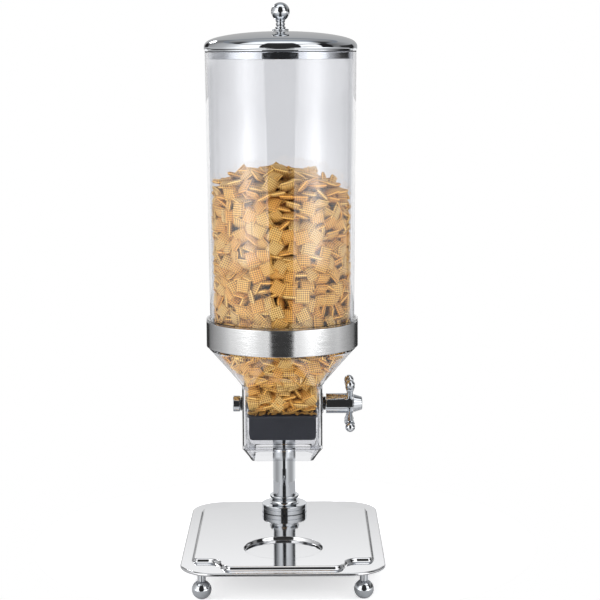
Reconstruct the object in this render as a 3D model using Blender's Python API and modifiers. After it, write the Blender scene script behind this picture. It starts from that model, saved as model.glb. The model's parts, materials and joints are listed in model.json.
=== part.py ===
"""A countertop cereal dispenser: a clear canister on a ring, a hand-turned rubber paddle rotor below it,
a pole that carries both, and a pressed base plate on four ball feet.

The frame is in metres, with +Z up and the origin on the table under the middle of the base plate. The
handle is on the +X side and the pole stands towards +Y.
"""

import math

import bmesh
import bpy
from mathutils import Vector

# Clearances
FIT_GAP = 0.0003
CUT_OVERRUN = 0.004
MERGE_GAP = 0.00001

# Facets round each kind of piece
LARGE_STEPS = 36
MEDIUM_STEPS = 20
SMALL_STEPS = 12
BALL_STEPS = 6
FILLET_STEPS = 2

# Base plate
BASE_WIDTH = 0.225
BASE_DEPTH = 0.302
BASE_CORNER = 0.041
RIM_TOP = 0.0317
PLATE_SHEET = 0.0012
LIP_DROP = 0.0032
LIP_ROUND = 0.0018
PANEL_RISE = 0.0040
PANEL_WALL_RUN = 0.0042
RIM_AT_SIDES = 0.0115
RIM_AT_ENDS = 0.0110
RIM_AT_CORNERS = 0.0410
TONGUE_STEP = 0.0280
TONGUE_TAPER = 0.0070
PANEL_CORNER = 0.008
OGEE_RADIUS = 0.014
PRESS_STEPS = 3
RECESS_FROM_FRONT = 0.086
RECESS_RADIUS = 0.0445
RECESS_WALL_RUN = 0.0032
RECESS_DEPTH = 0.0040

# Feet
FOOT_FROM_SIDE = 0.0245
FOOT_FROM_END = 0.0160
FOOT_BALL_RADIUS = 0.0107
FOOT_FLAT_RADIUS = 0.0042
FOOT_NECK_RADIUS = 0.0045
STUD_RADIUS = 0.0025
STUD_HEAD_RADIUS = 0.0070
STUD_HEAD_HEIGHT = 0.0015
STUD_DEPTH_IN_BALL = 0.0085

# Pole, its flange and its fixing
POLE_FROM_BACK = 0.057
POLE_RADIUS = 0.0136
POLE_WALL = 0.0015
POLE_ABOVE_COLLAR = 0.0020
FLANGE_WIDTH = 0.0134
FLANGE_HEIGHT = 0.0098
FLANGE_EDGE = 0.0009
FLANGE_GROOVE = 0.0006
NECK_RING_WIDTH = 0.00415
NECK_WAIST_WIDTH = 0.0020
NECK_RING_HEIGHT = 0.0100
NECK_RING_LIP = 0.0022
PLUG_HEIGHT = 0.020
PLUG_END_WALL = 0.004
BOLT_RADIUS = 0.0030
BOLT_HEAD_EDGE = 0.0025
BOLT_HEAD_HEIGHT = 0.0040
BOLT_TIP_GAP = 0.0015
WASHER_EDGE = 0.0050
WASHER_THICKNESS = 0.0012
CAP_DOME_RISE = 0.0030
CAP_SPIGOT = 0.0080

# Collar, arm and ring
COLLAR_WALL = 0.0044
COLLAR_HEIGHT = 0.0220
COLLAR_BELOW_RING_TOP = 0.0035
ARM_HEIGHT = 0.0160
ARM_HALF_WIDTH_AT_RING = 0.0200
ARM_HALF_WIDTH_AT_WAIST = 0.0075
ARM_HALF_WIDTH_AT_COLLAR = 0.0120
ARM_WAIST_SHARE = 0.55
ARM_ROOT_ROUND = 0.012
SCREW_RADIUS = 0.0025
SCREW_HEAD_EDGE = 0.0018
SCREW_HEAD_HEIGHT = 0.0045
RING_WALL = 0.0015
RING_HEIGHT = 0.0290
RING_TOP = 0.2915
RING_EDGE = 0.0004

# Canister tube and its gasket
CANISTER_REACH = 0.134
TUBE_SEAT_DEPTH = 0.0230
TUBE_LENGTH = 0.3181
TUBE_FOOT_RADIUS = 0.0800
TUBE_DRAFT = 0.0030
TUBE_WALL = 0.0030
TUBE_EDGE = 0.0006
GASKET_THICKNESS = 0.0016
GASKET_WIDTH = 0.0030

# Hopper funnel
LIP_SETBACK = 0.0002
LIP_THICKNESS = 0.0020
RING_SEAT_CLEARANCE = 0.0004
TUBE_SEAT_CLEARANCE = 0.0005
LEDGE_LIP = 0.0005
RIM_WALL = 0.00186
RIM_SHOULDER = 0.0008
CONE_BELOW_RING = 0.0025
CONE_HEIGHT = 0.0365
FUNNEL_WALL = 0.0030
CONE_SHARES = ((0.0, 0.0), (0.30, 0.30), (0.60, 0.61), (0.84, 0.87), (1.0, 1.0))

# Valve housing and outlet
HOUSING_WIDTH = 0.0883
HOUSING_DEPTH = 0.0950
HOUSING_CORNER = 0.0080
HOUSING_WALL = 0.0030
HOUSING_HEIGHT = 0.0705
SPIGOT_HEIGHT = 0.0030
SPOUT_HEIGHT = 0.0140
SPOUT_SIDE_TAPER = 0.0099
SPOUT_FRONT_TAPER = 0.0050
SPOUT_CORNER = 0.0070
SIDE_STEPS = 4
CORNER_STEPS = 3
EDGE_STEPS = 6

# Rotor
AXIS_BELOW_HOUSING_TOP = 0.0280
SHAFT_RADIUS = 0.0040
VANE_TIP_CLEARANCE = 0.0006
VANE_SIDE_CLEARANCE = 0.00215
VANE_THICKNESS = 0.0026
VANE_CORNER = 0.0070
VANE_COUNT = 4
VANE_REST_ANGLE = math.radians(-99.0)
HUB_CORE_WALL = 0.0026
SLOT_DEPTH = 0.0031

# Bushes and the shaft's left end
BOSS_WALL = 0.0045
BOSS_HEIGHT = 0.0015
BUSH_WALL = 0.0019
BUSH_FLANGE_EDGE = 0.0013
RIGHT_FLANGE = 0.0024
LEFT_FLANGE = 0.0012
BUSH_REACH = 0.0010
NUT_WALL = 0.00465
NUT_LENGTH = 0.0082
NUT_CHAMFER = 0.0012
NUT_END_WALL = 0.0014
AXLE_WASHER_WIDTH = 0.0037
AXLE_WASHER_THICKNESS = 0.0010

# Handle
BARREL_WALL = 0.0070
BARREL_LENGTH = 0.0305
BARREL_EDGE = 0.0005
HANDLE_CAP_LENGTH = 0.0098
HANDLE_CAP_STEP = 0.0010
HANDLE_CAP_TAPER = 0.0031
HANDLE_CAP_ROUND = 0.0012
HANDLE_CAP_END_WALL = 0.0030
SPOKE_COUNT = 4
SPOKE_PLANE_FROM_END = 0.0040
SPOKE_REST_ANGLE = math.radians(-41.0)
SPOKE_ROOT_RADIUS = 0.0025
SPOKE_FLARE_RADIUS = 0.0052
SPOKE_LENGTH = 0.0182
SPOKE_HOLE_DEPTH = 0.0051
SPOKE_RIM_EDGE = 0.0005
HANDLE_BALL_RADIUS = 0.0054
HANDLE_BALL_LIFT = 0.0042
BALL_STUD_RADIUS = 0.0015

# Lid
LID_OVERHANG = 0.0010
LID_HEIGHT = 0.0206
LID_SHEET = 0.0012
LID_SHARES = (
    (0.22, 0.985), (0.476, 0.940), (0.714, 0.786), (0.875, 0.637), (0.960, 0.480),
    (0.992, 0.300), (1.0, 0.150), (0.991, 0.045), (0.978, 0.0),
)
SEAL_SETBACK = 0.0006
SEAL_WIDTH = 0.0022
SEAL_THICKNESS = 0.0011
SKIRT_CLEARANCE = 0.0008
SKIRT_WALL = 0.0010
SKIRT_DEPTH = 0.0079
SKIRT_FLANGE = 0.0020

# Knob
KNOB_HEIGHT = 0.0311
KNOB_BALL_RADIUS = 0.01025
KNOB_NECK_RADIUS = 0.0043
KNOB_BEAD_RADIUS = 0.0060
KNOB_BEAD_HALF_HEIGHT = 0.0012
KNOB_FOOT_RADIUS = 0.0097
KNOB_FOOT_EDGE = 0.0012
KNOB_WAIST_RADIUS = 0.0050
KNOB_SCREW_RADIUS = 0.0020
KNOB_SCREW_DEPTH = 0.0120
KNOB_SCREW_HEAD_EDGE = 0.0018
KNOB_SCREW_HEAD_HEIGHT = 0.0024
KNOB_WASHER_EDGE = 0.0040
KNOB_WASHER_THICKNESS = 0.0010

# The base and what stands on it, worked out from the sizes above
FOOT_X = BASE_WIDTH / 2 - FOOT_FROM_SIDE
FOOT_Y = BASE_DEPTH / 2 - FOOT_FROM_END
PANEL_HALF_WIDTH = BASE_WIDTH / 2 - RIM_AT_SIDES
PANEL_SHOULDER = BASE_DEPTH / 2 - RIM_AT_CORNERS
TONGUE_FOOT_HALF_WIDTH = PANEL_HALF_WIDTH - TONGUE_STEP
TONGUE_HALF_WIDTH = TONGUE_FOOT_HALF_WIDTH - TONGUE_TAPER
TONGUE_REACH = BASE_DEPTH / 2 - RIM_AT_ENDS
PANEL_TOP = RIM_TOP + PANEL_RISE
PANEL_UNDERSIDE = PANEL_TOP - PLATE_SHEET
RIM_UNDERSIDE = RIM_TOP - PLATE_SHEET
RECESS_Y = RECESS_FROM_FRONT - BASE_DEPTH / 2
POLE_Y = BASE_DEPTH / 2 - POLE_FROM_BACK
CANISTER_Y = POLE_Y - CANISTER_REACH
COLLAR_TOP = RING_TOP - COLLAR_BELOW_RING_TOP
COLLAR_BOTTOM = COLLAR_TOP - COLLAR_HEIGHT
COLLAR_RADIUS = POLE_RADIUS + COLLAR_WALL
POLE_TOP = COLLAR_TOP + POLE_ABOVE_COLLAR
POLE_BOTTOM = PANEL_TOP + FIT_GAP
POLE_BORE_RADIUS = POLE_RADIUS - POLE_WALL
FLANGE_RADIUS = POLE_RADIUS + FLANGE_WIDTH
NECK_RING_RADIUS = POLE_RADIUS + NECK_RING_WIDTH
NECK_RING_WAIST = POLE_RADIUS + NECK_WAIST_WIDTH
BOLT_HEAD_RADIUS = BOLT_RADIUS + BOLT_HEAD_EDGE
WASHER_RADIUS = BOLT_RADIUS + WASHER_EDGE
SCREW_HEAD_RADIUS = SCREW_RADIUS + SCREW_HEAD_EDGE

# The canister, from the tube outwards to the ring and down to the outlet
FUNNEL_LIP_BOTTOM = RING_TOP + FIT_GAP
FUNNEL_LIP_TOP = FUNNEL_LIP_BOTTOM + LIP_THICKNESS
TUBE_BOTTOM = RING_TOP - TUBE_SEAT_DEPTH
TUBE_TOP = TUBE_BOTTOM + TUBE_LENGTH
TUBE_MOUTH_RADIUS = TUBE_FOOT_RADIUS + TUBE_DRAFT
TUBE_RADIUS_AT_LIP = TUBE_FOOT_RADIUS + TUBE_DRAFT * (FUNNEL_LIP_TOP - TUBE_BOTTOM) / TUBE_LENGTH
GASKET_TOP = TUBE_BOTTOM - FIT_GAP
LEDGE_TOP = GASKET_TOP - GASKET_THICKNESS - FIT_GAP
LEDGE_RADIUS = TUBE_FOOT_RADIUS - GASKET_WIDTH - LEDGE_LIP
RIM_INNER_RADIUS = TUBE_RADIUS_AT_LIP + TUBE_SEAT_CLEARANCE
RIM_OUTER_RADIUS = RIM_INNER_RADIUS + RIM_WALL
RING_RADIUS = RIM_OUTER_RADIUS + RING_SEAT_CLEARANCE + RING_WALL
RING_BOTTOM = RING_TOP - RING_HEIGHT
LIP_RADIUS = RING_RADIUS - LIP_SETBACK
CONE_TOP_RADIUS = RIM_OUTER_RADIUS - RIM_SHOULDER
CONE_TOP = RING_BOTTOM - CONE_BELOW_RING
HOUSING_TOP = CONE_TOP - CONE_HEIGHT
HOUSING_BOTTOM = HOUSING_TOP - HOUSING_HEIGHT
FUNNEL_BOTTOM = HOUSING_TOP + FIT_GAP
SPOUT_BOTTOM = HOUSING_BOTTOM - SPOUT_HEIGHT
SPOUT_WIDTH = HOUSING_WIDTH - 2 * SPOUT_SIDE_TAPER
SPOUT_DEPTH = HOUSING_DEPTH - 2 * SPOUT_FRONT_TAPER

# The rotor, from the shaft outwards and from the housing's walls along the shaft
AXIS_Z = HOUSING_TOP - AXIS_BELOW_HOUSING_TOP
VANE_RADIUS = HOUSING_DEPTH / 2 - HOUSING_WALL - VANE_TIP_CLEARANCE
VANE_WIDTH = HOUSING_WIDTH - 2 * (HOUSING_WALL + VANE_SIDE_CLEARANCE)
SLOT_FLOOR_RADIUS = SHAFT_RADIUS + FIT_GAP + HUB_CORE_WALL
VANE_ROOT_RADIUS = SLOT_FLOOR_RADIUS + FIT_GAP
HUB_RADIUS = SLOT_FLOOR_RADIUS + SLOT_DEPTH
BUSH_RADIUS = SHAFT_RADIUS + FIT_GAP + BUSH_WALL
BUSH_FLANGE_RADIUS = BUSH_RADIUS + BUSH_FLANGE_EDGE
BOSS_RADIUS = BUSH_RADIUS + FIT_GAP + BOSS_WALL
RIGHT_BOSS_FACE = HOUSING_WIDTH / 2 + BOSS_HEIGHT
BARREL_RADIUS = SHAFT_RADIUS + FIT_GAP + BARREL_WALL
BARREL_START = RIGHT_BOSS_FACE + FIT_GAP + RIGHT_FLANGE + FIT_GAP
BARREL_END = BARREL_START + BARREL_LENGTH
HANDLE_CAP_START = BARREL_END + FIT_GAP
HANDLE_CAP_END = HANDLE_CAP_START + HANDLE_CAP_LENGTH
HANDLE_CAP_BASE_RADIUS = BARREL_RADIUS - HANDLE_CAP_STEP
HANDLE_CAP_TIP_RADIUS = HANDLE_CAP_BASE_RADIUS - HANDLE_CAP_TAPER
SPOKE_PLANE_X = BARREL_END - SPOKE_PLANE_FROM_END
SPOKE_HOLE_FLOOR = BARREL_RADIUS - SPOKE_HOLE_DEPTH
SPOKE_FLARE_END = BARREL_RADIUS + SPOKE_LENGTH
HANDLE_BALL_CENTRE = SPOKE_FLARE_END + HANDLE_BALL_LIFT
LEFT_BUSH_FACE = -HOUSING_WIDTH / 2 - FIT_GAP - LEFT_FLANGE
AXLE_WASHER_RADIUS = SHAFT_RADIUS + FIT_GAP + AXLE_WASHER_WIDTH
NUT_RADIUS = SHAFT_RADIUS + FIT_GAP + NUT_WALL
NUT_START = LEFT_BUSH_FACE - FIT_GAP - AXLE_WASHER_THICKNESS - FIT_GAP
NUT_END = NUT_START - NUT_LENGTH
SHAFT_LEFT_END = NUT_END + NUT_END_WALL + FIT_GAP
SHAFT_RIGHT_END = HANDLE_CAP_END - HANDLE_CAP_END_WALL - FIT_GAP

# The lid, from the tube's mouth up
SEAL_BOTTOM = TUBE_TOP + FIT_GAP
SEAL_TOP = SEAL_BOTTOM + SEAL_THICKNESS
SEAL_OUTER_RADIUS = TUBE_MOUTH_RADIUS - SEAL_SETBACK
SEAL_INNER_RADIUS = SEAL_OUTER_RADIUS - SEAL_WIDTH
LID_RADIUS = TUBE_MOUTH_RADIUS + LID_OVERHANG
LID_RIM_BOTTOM = SEAL_TOP + FIT_GAP
LID_APEX = LID_RIM_BOTTOM + LID_HEIGHT
SKIRT_RADIUS = TUBE_MOUTH_RADIUS - TUBE_WALL - SKIRT_CLEARANCE
SKIRT_BOTTOM = TUBE_TOP - SKIRT_DEPTH
SKIRT_FLANGE_RADIUS = SKIRT_RADIUS + SKIRT_FLANGE
LID_RIM_INNER_RADIUS = SKIRT_RADIUS + FIT_GAP * 2
KNOB_TOP = LID_APEX + KNOB_HEIGHT
KNOB_SCREW_HEAD_RADIUS = KNOB_SCREW_RADIUS + KNOB_SCREW_HEAD_EDGE
KNOB_WASHER_RADIUS = KNOB_SCREW_RADIUS + KNOB_WASHER_EDGE


def make_collection(name):
    collection = bpy.data.collections.new(name)
    bpy.context.scene.collection.children.link(collection)
    return collection


def material(name, colour, metallic, roughness, alpha=1.0, transmission=0.0):
    made = bpy.data.materials.new(name)
    made.use_nodes = True
    shader = made.node_tree.nodes["Principled BSDF"]
    shader.inputs["Base Color"].default_value = (*colour, 1.0)
    shader.inputs["Metallic"].default_value = metallic
    shader.inputs["Roughness"].default_value = roughness
    shader.inputs["Alpha"].default_value = alpha
    shader.inputs["Transmission Weight"].default_value = transmission
    made.diffuse_color = (*colour, alpha)
    return made


def add_piece(name, mesh, finish, parent, turn=(0.0, 0.0, 0.0), place=(0.0, 0.0, 0.0)):
    """One object of the model, placed in the frame of its parent empty."""
    piece = bpy.data.objects.new(name, mesh)
    parts.objects.link(piece)
    mesh.materials.clear()
    mesh.materials.append(finish)
    piece.parent = parent
    piece.rotation_euler = turn
    piece.location = place
    return piece


def add_empty(name, place):
    empty = bpy.data.objects.new(name, None)
    empty.empty_display_size = FLANGE_RADIUS
    empty.location = place
    parts.objects.link(empty)
    return empty


def add_cutter(name, mesh, parent, turn=(0.0, 0.0, 0.0), place=(0.0, 0.0, 0.0)):
    cutter = bpy.data.objects.new(name, mesh)
    cutters.objects.link(cutter)
    cutter.parent = parent
    cutter.rotation_euler = turn
    cutter.location = place
    cutter.hide_render = True
    cutter.display_type = "WIRE"
    return cutter


def boolean(piece, operation, other):
    modifier = piece.modifiers.new(other.name, "BOOLEAN")
    modifier.operation = operation
    modifier.solver = "EXACT"
    modifier.object = other


def shade(mesh):
    mesh.shade_smooth()
    mesh.set_sharp_from_angle(angle=math.radians(35.0))


def corner_arc(before, corner, after, radius, steps):
    """The points and outward normals of a corner rounded to a radius, on a loop that runs anticlockwise."""
    towards_before = (before - corner).normalized()
    towards_after = (after - corner).normalized()
    half_angle = towards_before.angle(towards_after) / 2
    centre = corner + (towards_before + towards_after).normalized() * radius / math.sin(half_angle)
    start = corner + towards_before * radius / math.tan(half_angle) - centre
    end = corner + towards_after * radius / math.tan(half_angle) - centre
    turn = start.angle_signed(end)
    outward = 1.0 if turn < 0 else -1.0
    arc = []
    for step in range(steps + 1):
        angle = -turn * step / steps
        spoke = Vector((
            start.x * math.cos(angle) - start.y * math.sin(angle),
            start.x * math.sin(angle) + start.y * math.cos(angle),
        ))
        arc.append((centre + spoke, spoke.normalized() * outward))
    return arc


def rounded_loop(corners, steps):
    """Rounds each (x, y, radius) corner of a closed anticlockwise outline. Gives points with normals."""
    count = len(corners)
    loop = []
    for index, (x, y, radius) in enumerate(corners):
        before = Vector(corners[index - 1][:2])
        after = Vector(corners[(index + 1) % count][:2])
        loop.extend(corner_arc(before, Vector((x, y)), after, radius, steps))
    return loop


def softened(outline, steps=FILLET_STEPS):
    """A profile whose (r, z, radius) corners are rounded. The first and last corner stay as they are."""
    points = [Vector(outline[0][:2])]
    for before, corner, after in zip(outline, outline[1:], outline[2:]):
        if corner[2] > 0:
            arc = corner_arc(Vector(before[:2]), Vector(corner[:2]), Vector(after[:2]), corner[2], steps)
            points.extend(point for point, normal in arc)
        else:
            points.append(Vector(corner[:2]))
    points.append(Vector(outline[-1][:2]))
    return points


def softened_ring(outline, steps=FILLET_STEPS):
    """A closed profile whose corners are rounded, for a ring or a tube."""
    points = []
    count = len(outline)
    for index, (r, z, radius) in enumerate(outline):
        if radius > 0:
            before = Vector(outline[index - 1][:2])
            after = Vector(outline[(index + 1) % count][:2])
            arc = corner_arc(before, Vector((r, z)), after, radius, steps)
            points.extend(point for point, normal in arc)
        else:
            points.append(Vector((r, z)))
    return points


def arc_points(centre_r, centre_z, radius, start_degrees, end_degrees, steps):
    """Points of an arc in a profile. Zero degrees is straight out from the axis, and 90 is up."""
    points = []
    for step in range(steps + 1):
        angle = math.radians(start_degrees + (end_degrees - start_degrees) * step / steps)
        points.append(Vector((centre_r + radius * math.cos(angle), centre_z + radius * math.sin(angle))))
    return points


def smooth_path(points, steps):
    """A Catmull-Rom curve through the points."""
    ends = [points[0] * 2 - points[1], *points, points[-1] * 2 - points[-2]]
    path = []
    for p0, p1, p2, p3 in zip(ends, ends[1:], ends[2:], ends[3:]):
        for step in range(steps):
            t = step / steps
            path.append(0.5 * (
                p1 * 2 + (p2 - p0) * t
                + (p0 * 2 - p1 * 5 + p2 * 4 - p3) * t * t
                + (p1 * 3 - p0 - p2 * 3 + p3) * t * t * t
            ))
    path.append(points[-1])
    return path


def signed_area(points):
    return sum(a.x * b.y - b.x * a.y for a, b in zip(points, points[1:] + points[:1])) / 2


def turned(name, profile, steps, finish, parent, turn=(0.0, 0.0, 0.0), place=(0.0, 0.0, 0.0), ring=False):
    """A profile of (r, z) points turned round local Z. A ring's profile closes on itself."""
    points = list(profile)
    if signed_area(points) > 0:
        points.reverse()
    count = len(points)
    edges = [(index, (index + 1) % count) for index in range(count if ring else count - 1)]
    mesh = bpy.data.meshes.new(name)
    mesh.from_pydata([(point.x, 0.0, point.y) for point in points], edges, [])
    piece = add_piece(name, mesh, finish, parent, turn, place)
    screw = piece.modifiers.new("turn", "SCREW")
    screw.axis = "Z"
    screw.steps = steps
    screw.render_steps = steps
    screw.use_smooth_shade = True
    screw.use_merge_vertices = True
    screw.merge_threshold = MERGE_GAP
    return piece


def cylinder_mesh(name, radius, low, high, steps):
    """A closed cylinder round local Z from low to high."""
    build = bmesh.new()
    bmesh.ops.create_cone(
        build, cap_ends=True, segments=steps, radius1=radius, radius2=radius, depth=high - low,
    )
    bmesh.ops.translate(build, verts=build.verts, vec=(0.0, 0.0, (low + high) / 2))
    mesh = bpy.data.meshes.new(name)
    build.to_mesh(mesh)
    build.free()
    return mesh


def box_mesh(name, low, high):
    """A closed box between two corners."""
    build = bmesh.new()
    bmesh.ops.create_cube(build, size=1.0)
    size = [b - a for a, b in zip(low, high)]
    middle = [(a + b) / 2 for a, b in zip(low, high)]
    bmesh.ops.scale(build, verts=build.verts, vec=size)
    bmesh.ops.translate(build, verts=build.verts, vec=middle)
    mesh = bpy.data.meshes.new(name)
    build.to_mesh(mesh)
    build.free()
    return mesh


def flat_mesh(name, outline, thickness):
    """A flat outline in local XY with a thickness along Z, as one welded mesh."""
    curve = bpy.data.curves.new(name, "CURVE")
    curve.dimensions = "2D"
    curve.fill_mode = "BOTH"
    curve.extrude = thickness / 2
    spline = curve.splines.new("POLY")
    spline.points.add(len(outline) - 1)
    for spot, point in zip(spline.points, outline):
        spot.co = (point.x, point.y, 0.0, 1.0)
    spline.use_cyclic_u = True
    holder = bpy.data.objects.new(name, curve)
    cutters.objects.link(holder)
    evaluated = holder.evaluated_get(bpy.context.evaluated_depsgraph_get())
    mesh = bpy.data.meshes.new_from_object(evaluated)
    bpy.data.objects.remove(holder)
    build = bmesh.new()
    build.from_mesh(mesh)
    bmesh.ops.remove_doubles(build, verts=build.verts, dist=MERGE_GAP)
    bmesh.ops.recalc_face_normals(build, faces=build.faces)
    build.to_mesh(mesh)
    build.free()
    return mesh


def housing_angles():
    """The directions of a section's points: even along the sides and closer round the housing's corners."""
    corner_x = HOUSING_WIDTH / 2 - HOUSING_CORNER
    corner_y = HOUSING_DEPTH / 2 - HOUSING_CORNER
    corner = [
        math.atan2(
            corner_y + HOUSING_CORNER * math.sin(math.pi / 2 * step / CORNER_STEPS),
            corner_x + HOUSING_CORNER * math.cos(math.pi / 2 * step / CORNER_STEPS),
        )
        for step in range(CORNER_STEPS + 1)
    ]
    near_x = [corner[0] * step / SIDE_STEPS for step in range(SIDE_STEPS)]
    near_y = [corner[-1] + (math.pi / 2 - corner[-1]) * step / SIDE_STEPS for step in range(1, SIDE_STEPS)]
    quarter = near_x + corner + near_y
    mirrored = [math.pi - angle for angle in reversed(quarter[1:])]
    half = quarter + [math.pi / 2] + mirrored
    return half + [angle + math.pi for angle in half]


def reach(angle, half_width, half_depth, corner):
    """How far a rounded rectangle reaches from its middle in one direction."""
    across = abs(math.cos(angle))
    along = abs(math.sin(angle))
    corner_x = half_width - corner
    corner_y = half_depth - corner
    if along * half_width <= corner_y * across:
        return half_width / across
    if across * half_depth <= corner_x * along:
        return half_depth / along
    middle = corner_x * across + corner_y * along
    return middle + math.sqrt(middle * middle - corner_x ** 2 - corner_y ** 2 + corner ** 2)


def section(half_width, half_depth, corner, z):
    """A level ring of points round the canister's axis. A circle has its radius as all three sizes."""
    ring = []
    for angle in housing_angles():
        length = reach(angle, half_width, half_depth, corner)
        ring.append((length * math.cos(angle), length * math.sin(angle), z))
    return ring


def circle(radius, z):
    return section(radius, radius, radius, z)


def lofted_shell(name, rings, finish, parent, place):
    """A closed wall made by joining each ring of points to the next, and the last to the first."""
    build = bmesh.new()
    loops = [[build.verts.new(point) for point in ring] for ring in rings]
    for lower, upper in zip(loops, loops[1:] + loops[:1]):
        count = len(lower)
        for index in range(count):
            following = (index + 1) % count
            build.faces.new((lower[index], lower[following], upper[following], upper[index]))
    bmesh.ops.recalc_face_normals(build, faces=build.faces)
    mesh = bpy.data.meshes.new(name)
    build.to_mesh(mesh)
    build.free()
    shade(mesh)
    return add_piece(name, mesh, finish, parent, place=place)


def mirrored_corners(quarter):
    """Four quarters of a base outline, from the corners of the one at +X and +Y, anticlockwise."""
    back_left = [(-x, y, radius) for x, y, radius in reversed(quarter)]
    front_left = [(-x, -y, radius) for x, y, radius in quarter]
    front_right = [(x, -y, radius) for x, y, radius in reversed(quarter)]
    return quarter + back_left + front_left + front_right


def press_step(share):
    """The rise of a pressed wall against its run, with a soft bend at its foot and its top."""
    return (1 - math.cos(math.pi * share)) / 2


def base_plate():
    """A pressed sheet: a rounded rim with a short lip, a raised panel and a round recess for a bowl."""
    build = bmesh.new()

    def loop_at(points, z):
        verts = [build.verts.new((point.x, point.y, z)) for point in points]
        return [build.edges.new(pair) for pair in zip(verts, verts[1:] + verts[:1])]

    def inset(loop, distance):
        return [point - normal * distance for point, normal in loop]

    def ring_points(radius, y):
        angles = [2 * math.pi * step / LARGE_STEPS for step in range(LARGE_STEPS)]
        return [Vector((radius * math.cos(angle), y + radius * math.sin(angle))) for angle in angles]

    def bridge(loops):
        for first, second in zip(loops, loops[1:]):
            bmesh.ops.bridge_loops(build, edges=first + second)

    edge = rounded_loop(mirrored_corners([(BASE_WIDTH / 2, BASE_DEPTH / 2, BASE_CORNER)]), EDGE_STEPS)
    panel = rounded_loop(mirrored_corners([
        (PANEL_HALF_WIDTH, PANEL_SHOULDER, PANEL_CORNER),
        (TONGUE_FOOT_HALF_WIDTH, PANEL_SHOULDER, OGEE_RADIUS),
        (TONGUE_HALF_WIDTH, TONGUE_REACH, OGEE_RADIUS),
    ]), PRESS_STEPS)

    rim = [loop_at(inset(edge, 0.0), RIM_TOP - LIP_DROP)]
    for step in range(FILLET_STEPS + 1):
        angle = math.pi / 2 * step / FILLET_STEPS
        height = RIM_TOP - LIP_ROUND * (1 - math.sin(angle))
        rim.append(loop_at(inset(edge, LIP_ROUND * (1 - math.cos(angle))), height))
    bridge(rim)

    wall = []
    for step in range(PRESS_STEPS + 1):
        share = step / PRESS_STEPS
        height = RIM_TOP + PANEL_RISE * press_step(share)
        wall.append(loop_at(inset(panel, PANEL_WALL_RUN * share), height))
    bridge(wall)

    recess = []
    for step in range(PRESS_STEPS + 1):
        share = step / PRESS_STEPS
        height = PANEL_TOP - RECESS_DEPTH * press_step(share)
        recess.append(loop_at(ring_points(RECESS_RADIUS - RECESS_WALL_RUN * share, RECESS_Y), height))
    bridge(recess)

    hole_radius = BOLT_RADIUS + FIT_GAP
    hole_angles = [2 * math.pi * step / SMALL_STEPS for step in range(SMALL_STEPS)]
    hole = loop_at(
        [Vector((hole_radius * math.cos(a), POLE_Y + hole_radius * math.sin(a))) for a in hole_angles],
        PANEL_TOP,
    )
    bmesh.ops.triangle_fill(build, edges=rim[-1] + wall[0], use_beauty=True)
    bmesh.ops.triangle_fill(build, edges=wall[-1] + recess[0] + hole, use_beauty=True)
    bmesh.ops.triangle_fill(build, edges=recess[-1], use_beauty=True)
    bmesh.ops.recalc_face_normals(build, faces=build.faces)
    if max(build.faces, key=lambda face: face.calc_area()).normal.z < 0:
        bmesh.ops.reverse_faces(build, faces=build.faces)
    mesh = bpy.data.meshes.new("base_plate")
    build.to_mesh(mesh)
    build.free()
    shade(mesh)
    piece = add_piece("base_plate", mesh, polished, stand)
    solidify = piece.modifiers.new("sheet", "SOLIDIFY")
    solidify.thickness = PLATE_SHEET
    solidify.offset = -1.0
    solidify.use_even_offset = True


def feet():
    """Ball feet screwed on studs that are welded under the rim."""
    ball_centre = math.sqrt(FOOT_BALL_RADIUS ** 2 - FOOT_FLAT_RADIUS ** 2)
    neck_top = RIM_UNDERSIDE - FIT_GAP - STUD_HEAD_HEIGHT - FIT_GAP
    bore = STUD_RADIUS + FIT_GAP
    floor = ball_centre - STUD_DEPTH_IN_BALL / 2
    ball_low = -math.degrees(math.asin(ball_centre / FOOT_BALL_RADIUS))
    ball_high = math.degrees(math.acos(FOOT_NECK_RADIUS / FOOT_BALL_RADIUS))
    profile = [
        Vector((0.0, floor)),
        Vector((bore, floor)),
        Vector((bore, neck_top)),
        Vector((FOOT_NECK_RADIUS, neck_top)),
        *arc_points(0.0, ball_centre, FOOT_BALL_RADIUS, ball_high, ball_low, BALL_STEPS),
        Vector((0.0, 0.0)),
    ]
    head_bottom = neck_top + FIT_GAP
    stud = [
        Vector((0.0, floor + FIT_GAP)),
        Vector((STUD_RADIUS, floor + FIT_GAP)),
        Vector((STUD_RADIUS, head_bottom)),
        Vector((STUD_HEAD_RADIUS, head_bottom)),
        Vector((STUD_HEAD_RADIUS, head_bottom + STUD_HEAD_HEIGHT)),
        Vector((0.0, head_bottom + STUD_HEAD_HEIGHT)),
    ]
    corners = {
        "front_left": (-FOOT_X, -FOOT_Y), "front_right": (FOOT_X, -FOOT_Y),
        "back_left": (-FOOT_X, FOOT_Y), "back_right": (FOOT_X, FOOT_Y),
    }
    for corner, (x, y) in corners.items():
        turned("foot_ball_" + corner, profile, SMALL_STEPS, chrome, stand, place=(x, y, 0.0))
        turned("foot_stud_" + corner, stud, SMALL_STEPS, steel, stand, place=(x, y, 0.0))


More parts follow.
